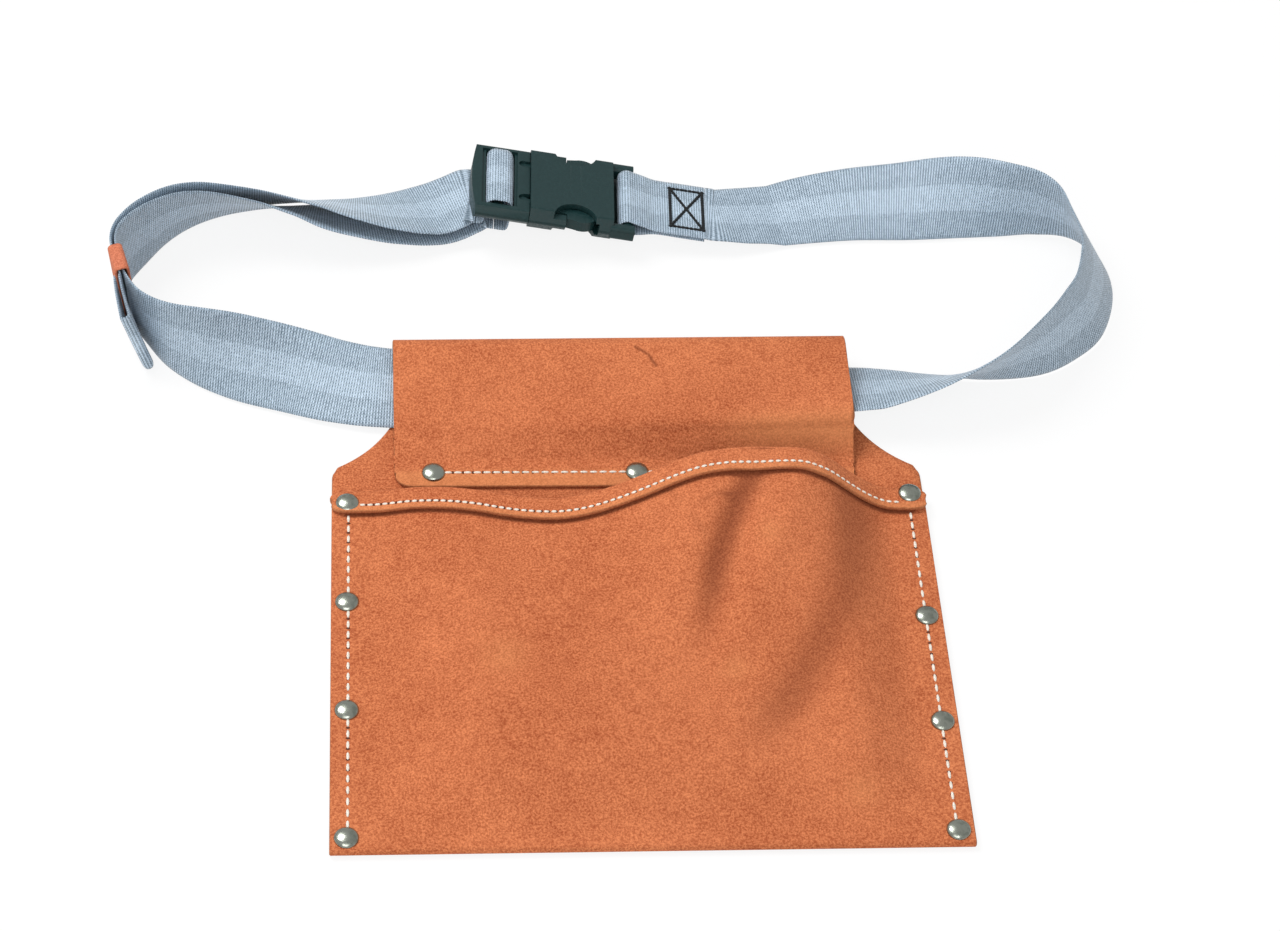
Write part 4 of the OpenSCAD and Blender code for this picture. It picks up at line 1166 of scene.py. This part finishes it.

# %% [markdown]
# ## Painted shade in the slots
# The webbing almost fills the slots of the buckle. Three thin plates of the dark plastic close
# what is left of the ladder's two slots and the underside of the socket's slot, so that no floor
# shows through. They are painted shade, put where the slots hold only shadow.

# %% Painted shade in the slots
CUBE_FACES = [(0, 1, 3, 2), (4, 6, 7, 5), (0, 4, 5, 1), (2, 3, 7, 6), (0, 2, 6, 4), (1, 5, 7, 3)]
LADDER_V, LADDER_W = (-20.9, 20.9), (-3.2, 2.8)
SHADE_PLATES = (("ladder_end_lip", "plug", (-23.2, -21.2), LADDER_V, LADDER_W),
        ("ladder_root_lip", "plug", (-7.2, -5.8), LADDER_V, LADDER_W),
        ("socket_slot_lip", "belt", (40.2, 47.0), (-20.5, 25.6), (-6.0, -5.3)))
# Dark plastic plates as painted shade, where the slots hold only shadow.
for name, body, us, vs, ws in SHADE_PLATES:
    corners = [in_buckle(u, v, w) * MM for u in us for v in vs for w in ws]
    lip = mesh_object(name, corners, CUBE_FACES, [moulded])
    lip.data.polygons.foreach_set("use_smooth", [False] * len(CUBE_FACES))
    outward(lip.data)
    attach(lip, body)
print("slot lips:", len(SHADE_PLATES))

# %% [markdown]
# ## Floor and light
# The floor is pale and plain. Lit by lamps alone it would come out grey and uneven, so most of
# what the camera sees of it is a white glow. The rest is lit and still takes the object's soft
# shadow. A broad lamp at the upper left is the main light, and a second one fills in from the
# front, as in the photograph.

# %% Floor and light
FLOOR_HALF, FLOOR_Z, FLOOR_GLOW = 4, -0.0004, 0.86
floor_corners = [(x * FLOOR_HALF, y * FLOOR_HALF, FLOOR_Z) for x, y in ((-1, -1), (1, -1), (1, 1), (-1, 1))]
floor = mesh_object("floor", floor_corners, [(0, 1, 2, 3)], [])
floor_finish, tree, bsdf = finish("pale_floor", 0.9)
bsdf.inputs["Base Color"].default_value = (0.9, 0.9, 0.9, 1)
glow = add(tree, "ShaderNodeEmission", Color=(1, 1, 1, 1), Strength=1.0)
rays = add(tree, "ShaderNodeLightPath")
seen = sums(tree, "MAXIMUM", rays.outputs["Is Camera Ray"], rays.outputs["Is Glossy Ray"])
seen = sums(tree, "MAXIMUM", seen, rays.outputs["Is Transmission Ray"])
share = sums(tree, "MULTIPLY", seen, FLOOR_GLOW)
blended = add(tree, "ShaderNodeMixShader", in0=share, in1=bsdf.outputs[0], in2=glow.outputs[0])
tree.links.new(blended.outputs[0], tree.nodes["Material Output"].inputs["Surface"])
floor.data.materials.append(floor_finish)

world = bpy.data.worlds.new("studio")
scene.world = world
world.use_nodes = True
sky = world.node_tree.nodes["Background"]
sky.inputs["Color"].default_value = (1, 1, 1, 1)
sky.inputs["Strength"].default_value = 0.55


def lamp(name, place, size, power):
    """Square lamp aimed at the frame's origin."""
    data = bpy.data.lights.new(name, "AREA")
    data.size = size
    data.energy = power
    obj = bpy.data.objects.new(name, data)
    obj.location = place
    obj.rotation_mode = "QUATERNION"
    obj.rotation_quaternion = (-Vector(place)).to_track_quat("-Z", "Y")
    scene.collection.objects.link(obj)


lamp("key", (-0.85, 0.6, 1.6), 0.9, 24)
lamp("fill", (-0.3, -1.4, 1.5), 1.2, 14)
scene.view_settings.view_transform = "Standard"
print("lamps:", len(bpy.data.lights))
